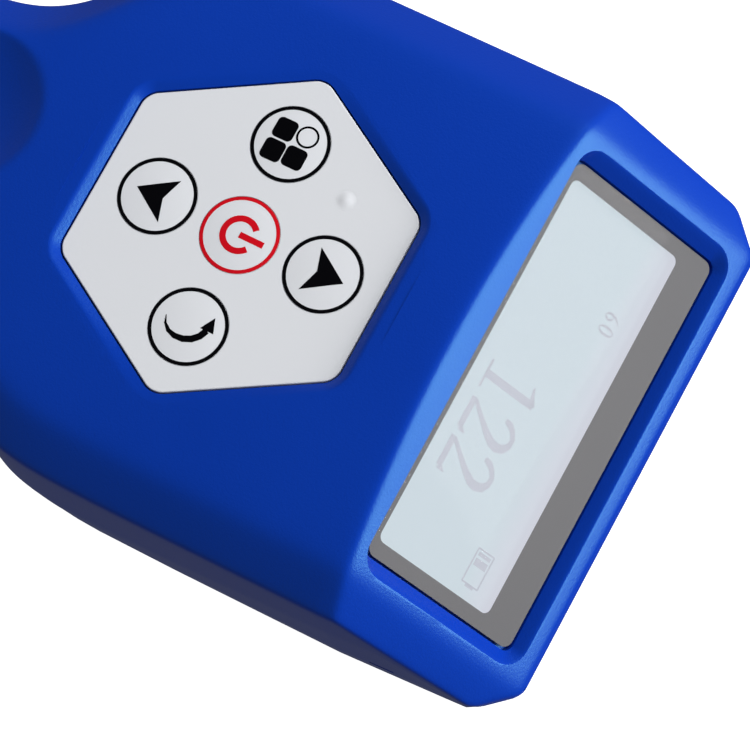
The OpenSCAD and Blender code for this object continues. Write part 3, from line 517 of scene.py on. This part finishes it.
def within(value, low, high):
    return min(high, max(low, value))


def roundIn(u):  # quarter circle, from 0 to 1
    return 1 - math.sqrt(1 - u * u)


def tailShare(y):
    return within((shell["tailRound"] - tailReach - y) / shell["tailRound"], 0, 1)


def tailSide(y):
    swell = (bodyW - shell["neckW"]) / 2 / (1 + math.exp((shell["shoulderY"] - y) / shell["shoulderSoft"]))
    return shell["neckW"] / 2 + swell - shell["tailPinch"] * roundIn(tailShare(y))


def cornerCut(y, form):  # clipped head corner and rounded nose
    corner = form["cornerW"] / form["cornerL"] * softRamp(y - headReach + form["cornerL"], form["cornerSoft"])
    nose = within((y - headReach + form["noseRound"]) / form["noseRound"], 0, 1)
    return corner + form["noseRound"] * roundIn(nose)


def halfWidth(y):
    taper = shell["hoodTaper"] * within((y - shell["ridgeY"]) / (hoodRun - shell["cornerL"]), 0, 1)
    return tailSide(y) - taper - cornerCut(y, shell)


def cornerLean(y):  # how far the corner stands out at the seam
    return shell["cornerLean"] * within((y - headReach + shell["cornerL"]) / shell["cornerL"], 0, 1)


def faceHeight(x, y, d=0):
    return caseH - d - x * x / (2 * crownR) - shell["tailDrop"] * roundIn(tailShare(y))


def skinHeight(x, y, d=0):
    hood = caseH - d / math.cos(slope) - (y - shell["ridgeY"]) * math.tan(slope)
    onto = within((y - shell["ridgeY"]) / shell["bevelTurn"], 0, 1)
    fall = shell["bevelDrop"] + (shell["hoodBevelDrop"] - shell["bevelDrop"]) * onto
    soft = shell["bevelSoft"] + (shell["hoodBevelSoft"] - shell["bevelSoft"]) * onto
    reach = abs(x) - tailSide(y) + shell["bevelW"] + 0.4 * d
    crest = softMin(faceHeight(x, y, d), hood, shell["ridgeSoft"])
    top = crest - softOver(reach * fall / shell["bevelW"], soft)
    if d:
        return top
    off = math.hypot(x, y - shell["dishY"])
    if off > 2 * shell["dishR"]:
        return top
    bowl = caseH - shell["dishDepth"] + dishBall - math.sqrt(max(0, dishBall ** 2 - off * off))
    return top - softOver(top - bowl, shell["dishSoft"]) * within(3 - 2 * off / shell["dishR"], 0, 1)


def spread(marks):  # even steps from mark to mark
    places = [marks[0][0]]
    for (start, _), (end, count) in zip(marks, marks[1:]):
        places += [start + (end - start) * i / count for i in range(1, count + 1)]
    return places


# half a section from the middle of the top, over the rounded edge and down the side to the seam
def halfSection(y, drop, d, low, counts):
    w = halfWidth(y) - d
    r = shell["edgeRound"] if d == 0 else shell["innerRound"]
    zone = min(shell["edgeZone"], 0.8 * w)
    points = []
    for q in spread([(w, 0), (zone, counts[0]), (2.4 * r, counts[1]), (r / 2, counts[2])]):
        points.append((w - q, max(low, skinHeight(w - q, y, d) - r * r / (4 * q) - drop)))
    side = skinHeight(w, y, d) - drop
    height = max(side - low, r)
    tuck = shell["wallTuck"] - (cornerLean(y) if d == 0 else 0)
    crease = within(shell["creaseZ"] + shell["creaseRise"] * y, low + height / 4, low + 3 * height / 4)
    for i in range(1, counts[3] + 1):
        e = r / 2 + (height - r / 2) * (i / counts[3]) ** 1.4
        x = w - r * r / (4 * e)
        z = low if i == counts[3] else max(low, skinHeight(x, y, d) - e - drop)
        lean = softOver((crease - z) / max(crease - low, 0.1), shell["creaseSoft"])
        points.append((x - tuck * lean, z))
    return points


# closed skin at depth d: a grid wrapped over stations along the case, then capped at the tail and below
def wrappedSkin(d, low, counts, stations):
    halves = [halfSection(y, drop, d, low, counts) for y, drop in stations]
    mid = len(halves[0]) - 1
    bm = bmesh.new()
    bmesh.ops.create_grid(bm, x_segments=2 * mid, y_segments=len(stations) - 1, size=1)
    for v in bm.verts:
        i = round((v.co.x + 1) * mid) - mid
        j = round((v.co.y + 1) / 2 * (len(stations) - 1))
        x, z = halves[j][abs(i)]
        v.co = (math.copysign(x, i), stations[j][0], z)
    bmesh.ops.remove_doubles(bm, verts=bm.verts, dist=0.002)
    rim = [e for e in bm.edges if e.is_boundary]
    tail = [e for e in rim if all(abs(v.co.y - stations[0][0]) < 0.001 for v in e.verts)]
    feet = [v for v in {v for e in tail for v in e.verts} if abs(v.co.z - low) < 0.001]
    feet.sort(key=lambda v: v.co.x)
    sill = bm.edges.new((feet[0], feet[-1]))
    bmesh.ops.contextual_create(bm, geom=tail + [sill])
    bmesh.ops.contextual_create(bm, geom=[e for e in bm.edges if e.is_boundary])
    bmesh.ops.recalc_face_normals(bm, faces=bm.faces)
    return bm


def outerStations():
    rounding = shell["tailRound"]
    places = [-tailReach + rounding * (1 - math.cos(math.radians(a))) for a in range(0, 91, 6)]
    turn = shell["shoulderY"] + 5 * shell["shoulderSoft"]
    places += spread([(places[-1], 0), (turn, 84), (shell["ridgeY"] - 3, 22), (shell["ridgeY"] + 4, 30),
                      (headReach - shell["cornerL"] - 2, 9), (headReach - shell["cornerL"] + 2, 16),
                      (headReach - shell["lipMarks"][0], 6)])[1:]
    r = shell["lipRound"]
    rows = [(y, r * r / (4 * (headReach - y))) for y in places]
    for q in shell["lipMarks"][1:]:  # closer rows where the lip rolls over
        rows.append((headReach - q, r * r / (4 * q)))
    rows += [(headReach - r * r / (4 * e), e) for e in (r / 2, 0.4, 0.6, shell["headLip"] + 0.3)]
    return rows


def innerStations():
    d = shell["wall"]
    places = spread([(d - tailReach, 0), (d - tailReach + shell["tailRound"], 6), (-4.5, 16),
                     (shell["ridgeY"] - 3, 4), (shell["ridgeY"] + 4, 10), (headReach - 1.2 * d, 8)])
    return [(y, 0) for y in places]


# keypad well: straight pocket for the panel, then a sloped wall that rolls softly out into the face
well = {"gap": 0.25, "rounding": 2.4, "width": 1.05, "roll": 0.14, "lift": 0.06, "ledge": 1.45,
        "pitFloor": 27.225, "plate": 1.5,
        "marks": (0, 0.15, 0.3, 0.45, 0.6, 0.75, 0.9, 1.05, 1.2, 1.4, 1.7, 2.1, 2.6)}


def wellRing(bm, t):
    return hexLoop(bm, padR + well["gap"] + t / math.cos(math.radians(30)), well["rounding"] + t)


def wellTool():
    bm = bmesh.new()
    foot = wellRing(bm, 0)
    bmesh.ops.translate(bm, verts=foot, vec=(0, 0, padUnder))
    rings = [foot]
    for t in well["marks"]:
        ring = wellRing(bm, t)
        for v in ring:
            face = faceHeight(v.co.x, v.co.y)
            rise = max(face - panelZ, 0.1) / well["width"]
            v.co.z = softMin(panelZ + rise * t, face + well["lift"] * (t - well["width"]), well["roll"])
        rings.append(ring)
    mouth = wellRing(bm, well["marks"][-1])
    bmesh.ops.translate(bm, verts=mouth, vec=(0, 0, caseH + 2))
    stacked(bm, rings + [mouth])
    return bm


# lens recess in the hood's frame: flared walls with a soft mouth, a pocket for the lens and a window
lens = {"near": 4.1, "far": 3.1, "width": 49.7, "sink": 1.5, "thick": 0.85, "gap": 0.1, "inset": 0.2,
        "print": 0.06, "rounding": 1.2, "flare": 1.7, "headShare": 0.55, "ridgeShare": 0.32, "roll": 0.3,
        "lift": 0.12, "edge": 0.08, "glassNear": 5, "glassW": 47.4, "glassL": 18, "glassRoom": 0.4,
        "glassThick": 1.8, "glassRound": 0.3, "openingRound": 0.6, "ledge": 1.2,
        "marks": (0, 0.25, 0.5, 0.8, 1.1, 1.35, 1.55, 1.7, 1.85, 2.05, 2.3)}
lensL = hoodLength - lens["near"] - lens["far"]
lensMid = Matrix.Translation((0, lens["near"] + lensL / 2, 0))
glassMid = Matrix.Translation((0, lens["glassNear"] + lens["glassL"] / 2, 0))


def lensRing(bm, t):
    head, ridge = lens["headShare"] * t, lens["ridgeShare"] * t  # the walls at these two sides are steeper
    wide, tall = lens["width"] + 2 * lens["gap"] + 2 * t, lensL + 2 * lens["gap"] + head + ridge
    ring = boxLoop(bm, wide, tall, lens["rounding"] + t)
    bmesh.ops.translate(bm, verts=ring, vec=(0, (head - ridge) / 2, 0))
    return ring


def lensTool():
    bm = bmesh.new()
    foot = lensRing(bm, 0)
    bmesh.ops.translate(bm, verts=foot, vec=(0, 0, -lens["sink"] - lens["thick"]))
    rings = [foot]
    steep = lens["sink"] / lens["flare"]
    for t in lens["marks"]:
        ring = lensRing(bm, t)
        z = softMin(steep * t - lens["sink"], lens["lift"] * (t - lens["flare"]), lens["roll"])
        bmesh.ops.translate(bm, verts=ring, vec=(0, 0, z))
        rings.append(ring)
    mouth = lensRing(bm, lens["marks"][-1])
    bmesh.ops.translate(bm, verts=mouth, vec=(0, 0, 2))
    stacked(bm, rings + [mouth])
    return bm


# places of the keys about the keypad centre, and the sizes of a key and of the lamp pip
keySpots = {"menu": (-11.66, 0), "back": (11.66, 0), "up": (0, 10.4), "down": (0, -10.4), "power": (0, 0)}
key = {"r": 4.48, "hole": 4.52, "crown": 0.15, "stemR": 1.6, "stemHole": 1.84, "flangeW": 0.5,
       "flangeT": 0.6, "flangeTop": 28.95, "edge": 0.1}
pip = {"at": (-8.6, 8.6), "r": 1.2, "h": 0.125, "gap": 0.004}
atPip = atPad @ Matrix.Translation((*pip["at"], 0))


# the finger dish is the cap of a large ball
def ballTool():
    bm = bmesh.new()
    bmesh.ops.create_uvsphere(bm, u_segments=96, v_segments=96, radius=dishBall)
    bmesh.ops.translate(bm, verts=bm.verts, vec=(0, 0, caseH - shell["dishDepth"] + dishBall))
    return bm


def buildFrontShell():
    base = tool(wrappedSkin(0, seamZ, (24, 22, 6, 16), outerStations()), atPad)
    hollow = wrappedSkin(shell["wall"], seamZ - 1, (6, 8, 2, 6), innerStations())
    tub = hexPrism(padR + shell["wall"], well["pitFloor"] - well["plate"], panelZ - 0.5, well["rounding"])
    frameFloor = lens["sink"] + lens["thick"] + lens["ledge"]
    lensFrame = boxPrism(lens["width"] + 2 * lens["flare"], lensL + lens["flare"], -frameFloor,
                         -shell["wall"] / 2, lens["rounding"])
    dishFoot = caseH - shell["dishDepth"] - shell["wall"]
    dishBack = rod(shell["dishBackR"], dishFoot, caseH - shell["dishBackSink"])
    pitR = padR + well["gap"] - well["ledge"] / math.cos(math.radians(30))
    pit = hexPrism(pitR, well["pitFloor"], panelZ, well["rounding"])
    opening = boxPrism(lens["glassW"] + lens["glassRoom"], lens["glassL"] + lens["glassRoom"],
                       -frameFloor - 0.5, -lens["sink"], lens["openingRound"])
    steps = [("DIFFERENCE", tool(hollow, atPad)), ("UNION", tool(tub, atPad)),
             ("UNION", tool(lensFrame, onHood @ lensMid)), ("UNION", tool(dishBack, atDish)),
             ("DIFFERENCE", tool(ballTool(), atDish)), ("DIFFERENCE", tool(wellTool(), atPad)),
             ("DIFFERENCE", tool(pit, atPad)), ("DIFFERENCE", tool(lensTool(), onHood @ lensMid)),
             ("DIFFERENCE", tool(opening, onHood @ glassMid))]
    for x, y in keySpots.values():
        stemHole = rod(key["stemHole"], well["pitFloor"] - 3, panelZ)
        steps.append(("DIFFERENCE", tool(stemHole, atPad @ Matrix.Translation((x, y, 0)))))
    sleeveLow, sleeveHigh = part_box("probe_sleeve")
    sleeveZ = (sleeveLow.z + sleeveHigh.z) / 2 / mm
    along = Matrix.Translation((0, -tailReach, sleeveZ)) @ Matrix.Rotation(math.radians(-90), 4, "X")
    steps.append(("DIFFERENCE", tool(rod(shell["sleeveHole"], -2, 5), atPad @ along)))
    slot = boxPrism(2 * shell["slotDepth"], shell["slotL"], seamZ - 0.5, seamZ + shell["slotH"],
                    shell["slotRound"])
    atSlot = Matrix.Translation((halfWidth(shell["slotY"]) - shell["wallTuck"], shell["slotY"], 0))
    steps.append(("DIFFERENCE", tool(slot, atPad @ atSlot)))
    bm = carved(base, steps)
    newPiece("frontShell", bm, Matrix.Identity(4), "case", "caseBlue", ["front_shell"], 32)


# keypad panel: one plate with rounded corners, softened upper edges and a hole for each key
panel = {"rounding": 2.15, "edge": 0.12}


def buildPanel():
    bm = hexPrism(padR, padUnder, panelZ, panel["rounding"])
    top = [e for e in bm.edges if all(abs(v.co.z - panelZ) < 0.001 for v in e.verts)]
    bmesh.ops.bevel(bm, geom=top, offset=panel["edge"], segments=3, profile=0.5, affect="EDGES", material=-1)
    steps = []
    for x, y in keySpots.values():
        hole = rod(key["hole"], padUnder - 1, panelZ + 1, 96)
        steps.append(("DIFFERENCE", tool(hole, atPad @ Matrix.Translation((x, y, 0)))))
    hole = rod(pip["r"] + pip["gap"], padUnder - 1, panelZ + 1)
    steps.append(("DIFFERENCE", tool(hole, atPip)))
    bm = carved(tool(bm, atPad), steps)
    newPiece("keypadPanel", bm, Matrix.Identity(4), "case", "keyFilm", ["keypad_panel"], 12)


# keys: crowned discs with a softened rim, a flange under the panel and a stem
keyBall = (key["r"] ** 2 + key["crown"] ** 2) / (2 * key["crown"])


def domeZ(off):
    return panelZ + key["crown"] - keyBall + math.sqrt(keyBall ** 2 - off * off)


def buildKey(name, node):
    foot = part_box(node)[0].z / mm
    inner = key["r"] - key["edge"]
    dome = [(inner * i / 14, domeZ(inner * i / 14)) for i in range(15)]
    rim = [(inner + key["edge"] * math.sin(a), domeZ(inner) - key["edge"] * (1 - math.cos(a)))
           for a in (0.5, 1.0, math.pi / 2)]
    under = key["flangeTop"] - key["flangeT"]
    flangeR = key["r"] + key["flangeW"]
    body = [(key["r"], key["flangeTop"]), (flangeR, key["flangeTop"]), (flangeR, under),
            (key["stemR"], under), (key["stemR"], foot), (0, foot)]
    bm = turned(dome + rim + body, 96)
    place = atPad @ Matrix.Translation((*keySpots[name], 0))
    newPiece(name + "Key", bm, place, name, "keyFilm", [node], 30)


# print on the keys: thin fields that follow the dome
ink = {"lift": 0.012, "depth": 0.03, "step": 0.3, "ringIn": 4.04, "ringOut": 4.45}


def buildRing(name, finish):
    count = 4
    top = [(ink["ringIn"] + (ink["ringOut"] - ink["ringIn"]) * i / count) for i in range(count + 1)]
    profile = [(r, domeZ(min(r, key["r"])) + ink["lift"]) for r in top]
    profile += [(r, domeZ(min(r, key["r"])) - ink["depth"]) for r in reversed(top)]
    bm = turned(profile, 120, True)
    newPiece(name + "Ring", bm, atPad @ Matrix.Translation((*keySpots[name], 0)), name, finish)


def buildIcon(name, bm, finish):
    cuts = [ink["step"] * i for i in range(-14, 15)]
    for axis in ((1, 0, 0), (0, 1, 0)):
        for c in cuts:
            whole = bm.verts[:] + bm.edges[:] + bm.faces[:]
            bmesh.ops.bisect_plane(bm, geom=whole, plane_co=Vector(axis) * c, plane_no=axis)
    for v in bm.verts:
        v.co.z = domeZ(math.hypot(v.co.x, v.co.y)) + ink["lift"]
    bmesh.ops.recalc_face_normals(bm, faces=bm.faces)
    if sum(f.normal.z for f in bm.faces) < 0:
        bmesh.ops.reverse_faces(bm, faces=bm.faces)
    bmesh.ops.solidify(bm, geom=bm.faces[:], thickness=ink["depth"])
    newPiece(name + "Icon", bm, atPad @ Matrix.Translation((*keySpots[name], 0)), name, finish)


# band along a path: an edge drawn on from place to place, with a width at each
def addBand(bm, path):
    points = [Vector((x, y, 0)) for x, y, width in path]
    edge = None
    for i, (x, y, width) in enumerate(path):
        run = points[min(i + 1, len(path) - 1)] - points[max(i - 1, 0)]
        aside = Vector((-run.y, run.x, 0)).normalized() * width / 2
        if edge is None:
            ends = [bm.verts.new(points[i] + aside), bm.verts.new(points[i] - aside)]
            edge = bm.edges.new(ends)
            continue
        drawn = bmesh.ops.extrude_edge_only(bm, edges=[edge])["geom"]
        fresh = [g for g in drawn if isinstance(g, bmesh.types.BMVert)]
        edge = [g for g in drawn if isinstance(g, bmesh.types.BMEdge) and all(v in fresh for v in g.verts)][0]
        for start, side in zip(ends, (1, -1)):
            match = [v for v in fresh if any(e.other_vert(v) is start for e in v.link_edges)][0]
            match.co = points[i] + aside * side
            ends[0 if side == 1 else 1] = match


def addField(bm, corners):
    return bm.faces.new([bm.verts.new((x, y, 0)) for x, y in corners])


def addArc(bm, radius, width, start, end, count=40, centre=(0, 0)):
    steps = [math.radians(start + (end - start) * i / count) for i in range(count + 1)]
    addBand(bm, [(centre[0] + radius * math.cos(a), centre[1] + radius * math.sin(a), width) for a in steps])


# key icons, in shares of the panel's corner radius
icon = {"squareW": 0.124, "squareRound": 0.028,
        "squares": ((-0.064, -0.067), (0.071, -0.073), (0.063, 0.058)),
        "dotAt": (-0.075, 0.068), "dotR": 0.059, "dotLine": 0.0125,
        "arrowTip": 0.128, "arrowHalf": 0.133, "arrowFoot": 0.079, "arrowNotch": 0.036,
        "powerR": 0.094, "powerLine": 0.036, "powerGap": 38, "powerBar": 0.148,
        "curl": ((-0.009, -0.142, 0.003), (0.034, -0.124, 0.014), (0.066, -0.088, 0.024),
                 (0.079, -0.042, 0.032), (0.075, 0.008, 0.037), (0.055, 0.052, 0.039),
                 (0.022, 0.085, 0.039), (-0.022, 0.104, 0.038)),
        "curlHead": ((-0.107, 0.112), (-0.020, 0.064), (-0.020, 0.146))}


def buildIcons():
    u = padR
    bm = bmesh.new()  # menu: three soft squares and an open ring
    for x, y in icon["squares"]:
        ring = boxLoop(bm, icon["squareW"] * u, icon["squareW"] * u, icon["squareRound"] * u)
        bmesh.ops.translate(bm, verts=ring, vec=(x * u, y * u, 0))
        bmesh.ops.contextual_create(bm, geom=loopEdges(ring))
    x, y = icon["dotAt"]
    addArc(bm, icon["dotR"] * u, icon["dotLine"] * u, 0, 360, 48, (x * u, y * u))
    buildIcon("menu", bm, "printBlack")
    half, foot = icon["arrowHalf"] * u, icon["arrowFoot"] * u
    for name, side in (("up", 1), ("down", -1)):
        bm = bmesh.new()
        tip, notch = (0, side * icon["arrowTip"] * u), (0, -side * icon["arrowNotch"] * u)
        addField(bm, [tip, (half, -side * foot), notch, (-half, -side * foot)])
        buildIcon(name, bm, "printBlack")
    bm = bmesh.new()  # power: open ring and bar
    line = icon["powerLine"] * u
    addArc(bm, icon["powerR"] * u, line, 90 + icon["powerGap"], 450 - icon["powerGap"])
    addBand(bm, [(0, 0, line), (0, icon["powerBar"] * u, line)])
    buildIcon("power", bm, "printRed")
    bm = bmesh.new()  # back: a swelling curl that ends in an arrowhead
    addBand(bm, [(x * u, y * u, width * u) for x, y, width in icon["curl"]])
    addField(bm, [(x * u, y * u) for x, y in icon["curlHead"]])
    buildIcon("back", bm, "printBlack")


def buildPip():
    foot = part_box("lamp_pip")[0].z / mm
    dome = [(pip["r"] * i / 16, panelZ + pip["h"] * (1 + math.cos(math.pi * i / 16)) / 2) for i in range(17)]
    bm = turned(dome + [(pip["r"], foot), (0, foot)], 48)
    newPiece("lampPip", bm, atPip, "case", "keyFilm", ["lamp_pip"])


# display: clear lens, grey printed border just under its face, pale glass and a faint readout
window = {"near": 4.93, "far": 22.07, "half": 22.8, "rounding": 0.9, "borderInset": 0.01, "borderThick": 0.04}


def buildLens():
    wide, tall = lens["width"] - 2 * lens["inset"], lensL - 2 * lens["inset"]
    bm = boxPrism(wide, tall, -lens["sink"] - lens["thick"], -lens["sink"], lens["rounding"])
    top = [e for e in bm.edges if all(abs(v.co.z + lens["sink"]) < 0.001 for v in e.verts)]
    bmesh.ops.bevel(bm, geom=top, offset=lens["edge"], segments=2, profile=0.5, affect="EDGES", material=-1)
    newPiece("displayLens", bm, onHood @ lensMid, "case", "lensClear", ["display_lens"])
    bm = bmesh.new()  # border: lens outline bridged to the window outline
    inset = 2 * window["borderInset"]
    outer = boxLoop(bm, wide - inset, tall - inset, lens["rounding"])
    bmesh.ops.translate(bm, verts=outer, vec=(0, lens["near"] + lensL / 2, 0))
    inner = boxLoop(bm, 2 * window["half"], window["far"] - window["near"], window["rounding"])
    bmesh.ops.translate(bm, verts=inner, vec=(0, (window["near"] + window["far"]) / 2, 0))
    bmesh.ops.bridge_loops(bm, edges=loopEdges(outer) + loopEdges(inner))
    bmesh.ops.recalc_face_normals(bm, faces=bm.faces)
    if sum(f.normal.z for f in bm.faces) < 0:
        bmesh.ops.reverse_faces(bm, faces=bm.faces)
    bmesh.ops.translate(bm, verts=bm.verts, vec=(0, 0, -lens["sink"] - lens["print"]))
    bmesh.ops.solidify(bm, geom=bm.faces[:], thickness=window["borderThick"])
    newPiece("lensBorder", bm, onHood, "case", "lensGrey")


def buildGlass():
    glassTop = lens["sink"] + lens["thick"] + lens["gap"]
    bm = boxPrism(lens["glassW"], lens["glassL"], -glassTop - lens["glassThick"], -glassTop,
                  lens["glassRound"])
    newPiece("displayGlass", bm, onHood @ glassMid, "case", "lcdGlass", ["display_glass"])


# readout: plain figures drawn in units of their height, and a half-filled battery
figures = {
    "1": [[(0.03, 0.86, 0.03), (0.15, 0.90, 0.06), (0.29, 0.96, 0.11)],
          [(0.27, 0.02, 0.125), (0.27, 0.98, 0.125)], [(0.05, 0.02, 0.04), (0.49, 0.02, 0.04)]],
    "2": [[(0.035, 0.70, 0.07), (0.05, 0.79, 0.10), (0.11, 0.88, 0.09), (0.21, 0.95, 0.08),
           (0.32, 0.94, 0.10), (0.41, 0.87, 0.13), (0.445, 0.76, 0.14), (0.425, 0.65, 0.135),
           (0.36, 0.52, 0.11), (0.26, 0.37, 0.085), (0.15, 0.22, 0.07), (0.04, 0.08, 0.06)],
          [(0.02, 0.05, 0.10), (0.50, 0.05, 0.10)], [(0.50, 0.05, 0.10), (0.545, 0.17, 0.02)]],
    "6": [[(0.42, 0.97, 0.03), (0.28, 0.88, 0.07), (0.15, 0.72, 0.11), (0.09, 0.52, 0.13),
           (0.08, 0.33, 0.13), (0.13, 0.14, 0.11), (0.25, 0.04, 0.06), (0.37, 0.14, 0.11),
           (0.42, 0.30, 0.13), (0.37, 0.47, 0.11), (0.26, 0.56, 0.06), (0.13, 0.49, 0.05)]],
    "0": [[(0.25 + 0.19 * math.cos(math.tau * i / 24), 0.5 + 0.46 * math.sin(math.tau * i / 24),
            0.05 + 0.08 * abs(math.cos(math.tau * i / 24))) for i in range(25)]]}
readout = {"count": {"figures": "60", "at": (-13.5, 17.5), "height": 2.25, "pitch": 1.6},
           "reading": {"figures": "122", "at": (-1.5, 7.35), "height": 7.7, "pitch": 4.85}}
readoutInk = {"lift": 0.03, "depth": 0.02}
battery = {"at": (16.9, 17.5), "w": 4.05, "h": 2.4, "line": 0.2, "bars": ((0.3, 0.45), (1.05, 0.85)),
           "room": 0.3, "tipL": 0.35, "tipW": 1.2}


def addFigure(bm, figure, left, foot, height):
    for path in figures[figure]:
        addBand(bm, [(left + x * height, foot + y * height, width * height) for x, y, width in path])


def addBattery(bm):
    (x, y), w, h, line = battery["at"], battery["w"], battery["h"], battery["line"]
    corners = [(x, y), (x + w, y), (x + w, y + h), (x, y + h)]
    for i, j in ((0, 1), (3, 2), (0, 3), (1, 2)):
        addBand(bm, [(*corners[i], line), (*corners[j], line)])
    for off, wide in battery["bars"]:
        mid = x + off + wide / 2
        addBand(bm, [(mid, y + battery["room"], wide), (mid, y + h - battery["room"], wide)])
    addBand(bm, [(x + w, y + h / 2, battery["tipW"]), (x + w + battery["tipL"], y + h / 2, battery["tipW"])])


def buildReadout():
    bm = bmesh.new()
    for line in readout.values():
        for i, figure in enumerate(line["figures"]):
            addFigure(bm, figure, line["at"][0] + i * line["pitch"], line["at"][1], line["height"])
    addBattery(bm)
    bmesh.ops.recalc_face_normals(bm, faces=bm.faces)
    for face in [f for f in bm.faces if f.normal.z < 0]:
        face.normal_flip()
    glassTop = lens["sink"] + lens["thick"] + lens["gap"]
    bmesh.ops.translate(bm, verts=bm.verts, vec=(0, 0, readoutInk["lift"] - glassTop))
    bmesh.ops.solidify(bm, geom=bm.faces[:], thickness=readoutInk["depth"])
    newPiece("readout", bm, onHood, "case", "lcdInk")


def addFloor():
    bm = bmesh.new()
    bmesh.ops.create_grid(bm, x_segments=8, y_segments=8, size=studio["floorHalf"])
    mesh = bpy.data.meshes.new("studioFloor")
    bm.to_mesh(mesh)
    bm.free()
    mesh.materials.append(finishes["floorPale"])
    floor = bpy.data.objects.new("studioFloor", mesh)
    floor.location.z = studio["floorZ"]
    floor.visible_diffuse = floor.visible_glossy = floor.visible_shadow = False
    scene.collection.objects.link(floor)


addCamera()
addLamps()
addFloor()
print("studio set up")

buildFrontShell()
print("front shell built")
buildPanel()
for name in keySpots:
    buildKey(name, name + "_key")
    buildRing(name, "printRed" if name == "power" else "printBlack")
buildIcons()
buildPip()
print("keypad built")
buildLens()
buildGlass()
buildReadout()
print("display built")


# other CAD pieces: smooth copies where they show, the node itself with a finish where they are inside
copies = {
    "rear_shell": ("rearShell", "case", "case_blue", "caseBlue"),
    "battery_door": ("batteryDoor", "door", "case_blue", "caseBlue"),
    "probe_sleeve": ("probeSleeve", "case", "steel", "turnedSteel"),
    "probe_plunger": ("probePlunger", "probe", "black_plastic", "blackMould"),
    "probe_tip": ("probeTip", "probe", "steel", "turnedSteel"),
    "case_screws": ("caseScrews", "case", "steel", "turnedSteel"),
    "probe_spring": ("probeSpring", "case", "steel", "springSteel")}


# the rear shell's head corners follow the finer corners of the front shell; the values are the solid's own
rear = {"cornerW": 6.2, "cornerL": 6, "cornerSoft": 1.5, "noseRound": 1.5, "rake": 2.4, "inner": 22}


def followCorners(bm):
    for v in bm.verts:
        share = v.co.z / mm / seamZ
        past = v.co.y / mm - padY - shell["ridgeY"]
        y = shell["ridgeY"] + past / (1 - rear["rake"] * (1 - share) / hoodRun)
        if y > shell["ridgeY"] and abs(v.co.x) > rear["inner"] * mm:
            y = min(y, headReach)
            plain = tailSide(y) - cornerCut(y, rear)
            v.co.x += math.copysign(mm, v.co.x) * (halfWidth(y) + cornerLean(y) * share - plain)


copied = {}
for node, (name, body, slot, finish) in copies.items():
    bm = bmesh.new()
    bm.from_mesh(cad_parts[node].data)
    bmesh.ops.remove_doubles(bm, verts=bm.verts, dist=0.000002)
    if node == "rear_shell":
        followCorners(bm)
    copied[node] = newPiece(name, bm, Matrix.Identity(4), body, finish, [node], 28)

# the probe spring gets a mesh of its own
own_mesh(copied["probe_spring"])

inside = {
    "backlight": "milkyGuide", "display_tray": "blackMould", "display_flex": "amberFlex",
    "dome_switches": "springSteel", "main_board": "boardGreen", "processor": "blackMould",
    "buzzer": "blackMould", "probe_socket": "milkyGuide", "probe_lead": "blackMould",
    "probe_coil": "copperWire", "probe_cap": "blackMould", "left_cell": "cellWrap", "right_cell": "cellWrap",
    "contact_springs": "springSteel", "contact_leaves": "springSteel", "board_screws": "turnedSteel"}
for node, finish in inside.items():
    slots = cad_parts[node].material_slots
    if slots:
        slots[0].material = finishes[finish]
    else:
        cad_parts[node].data.materials.append(finishes[finish])
print("carried-over pieces dressed")
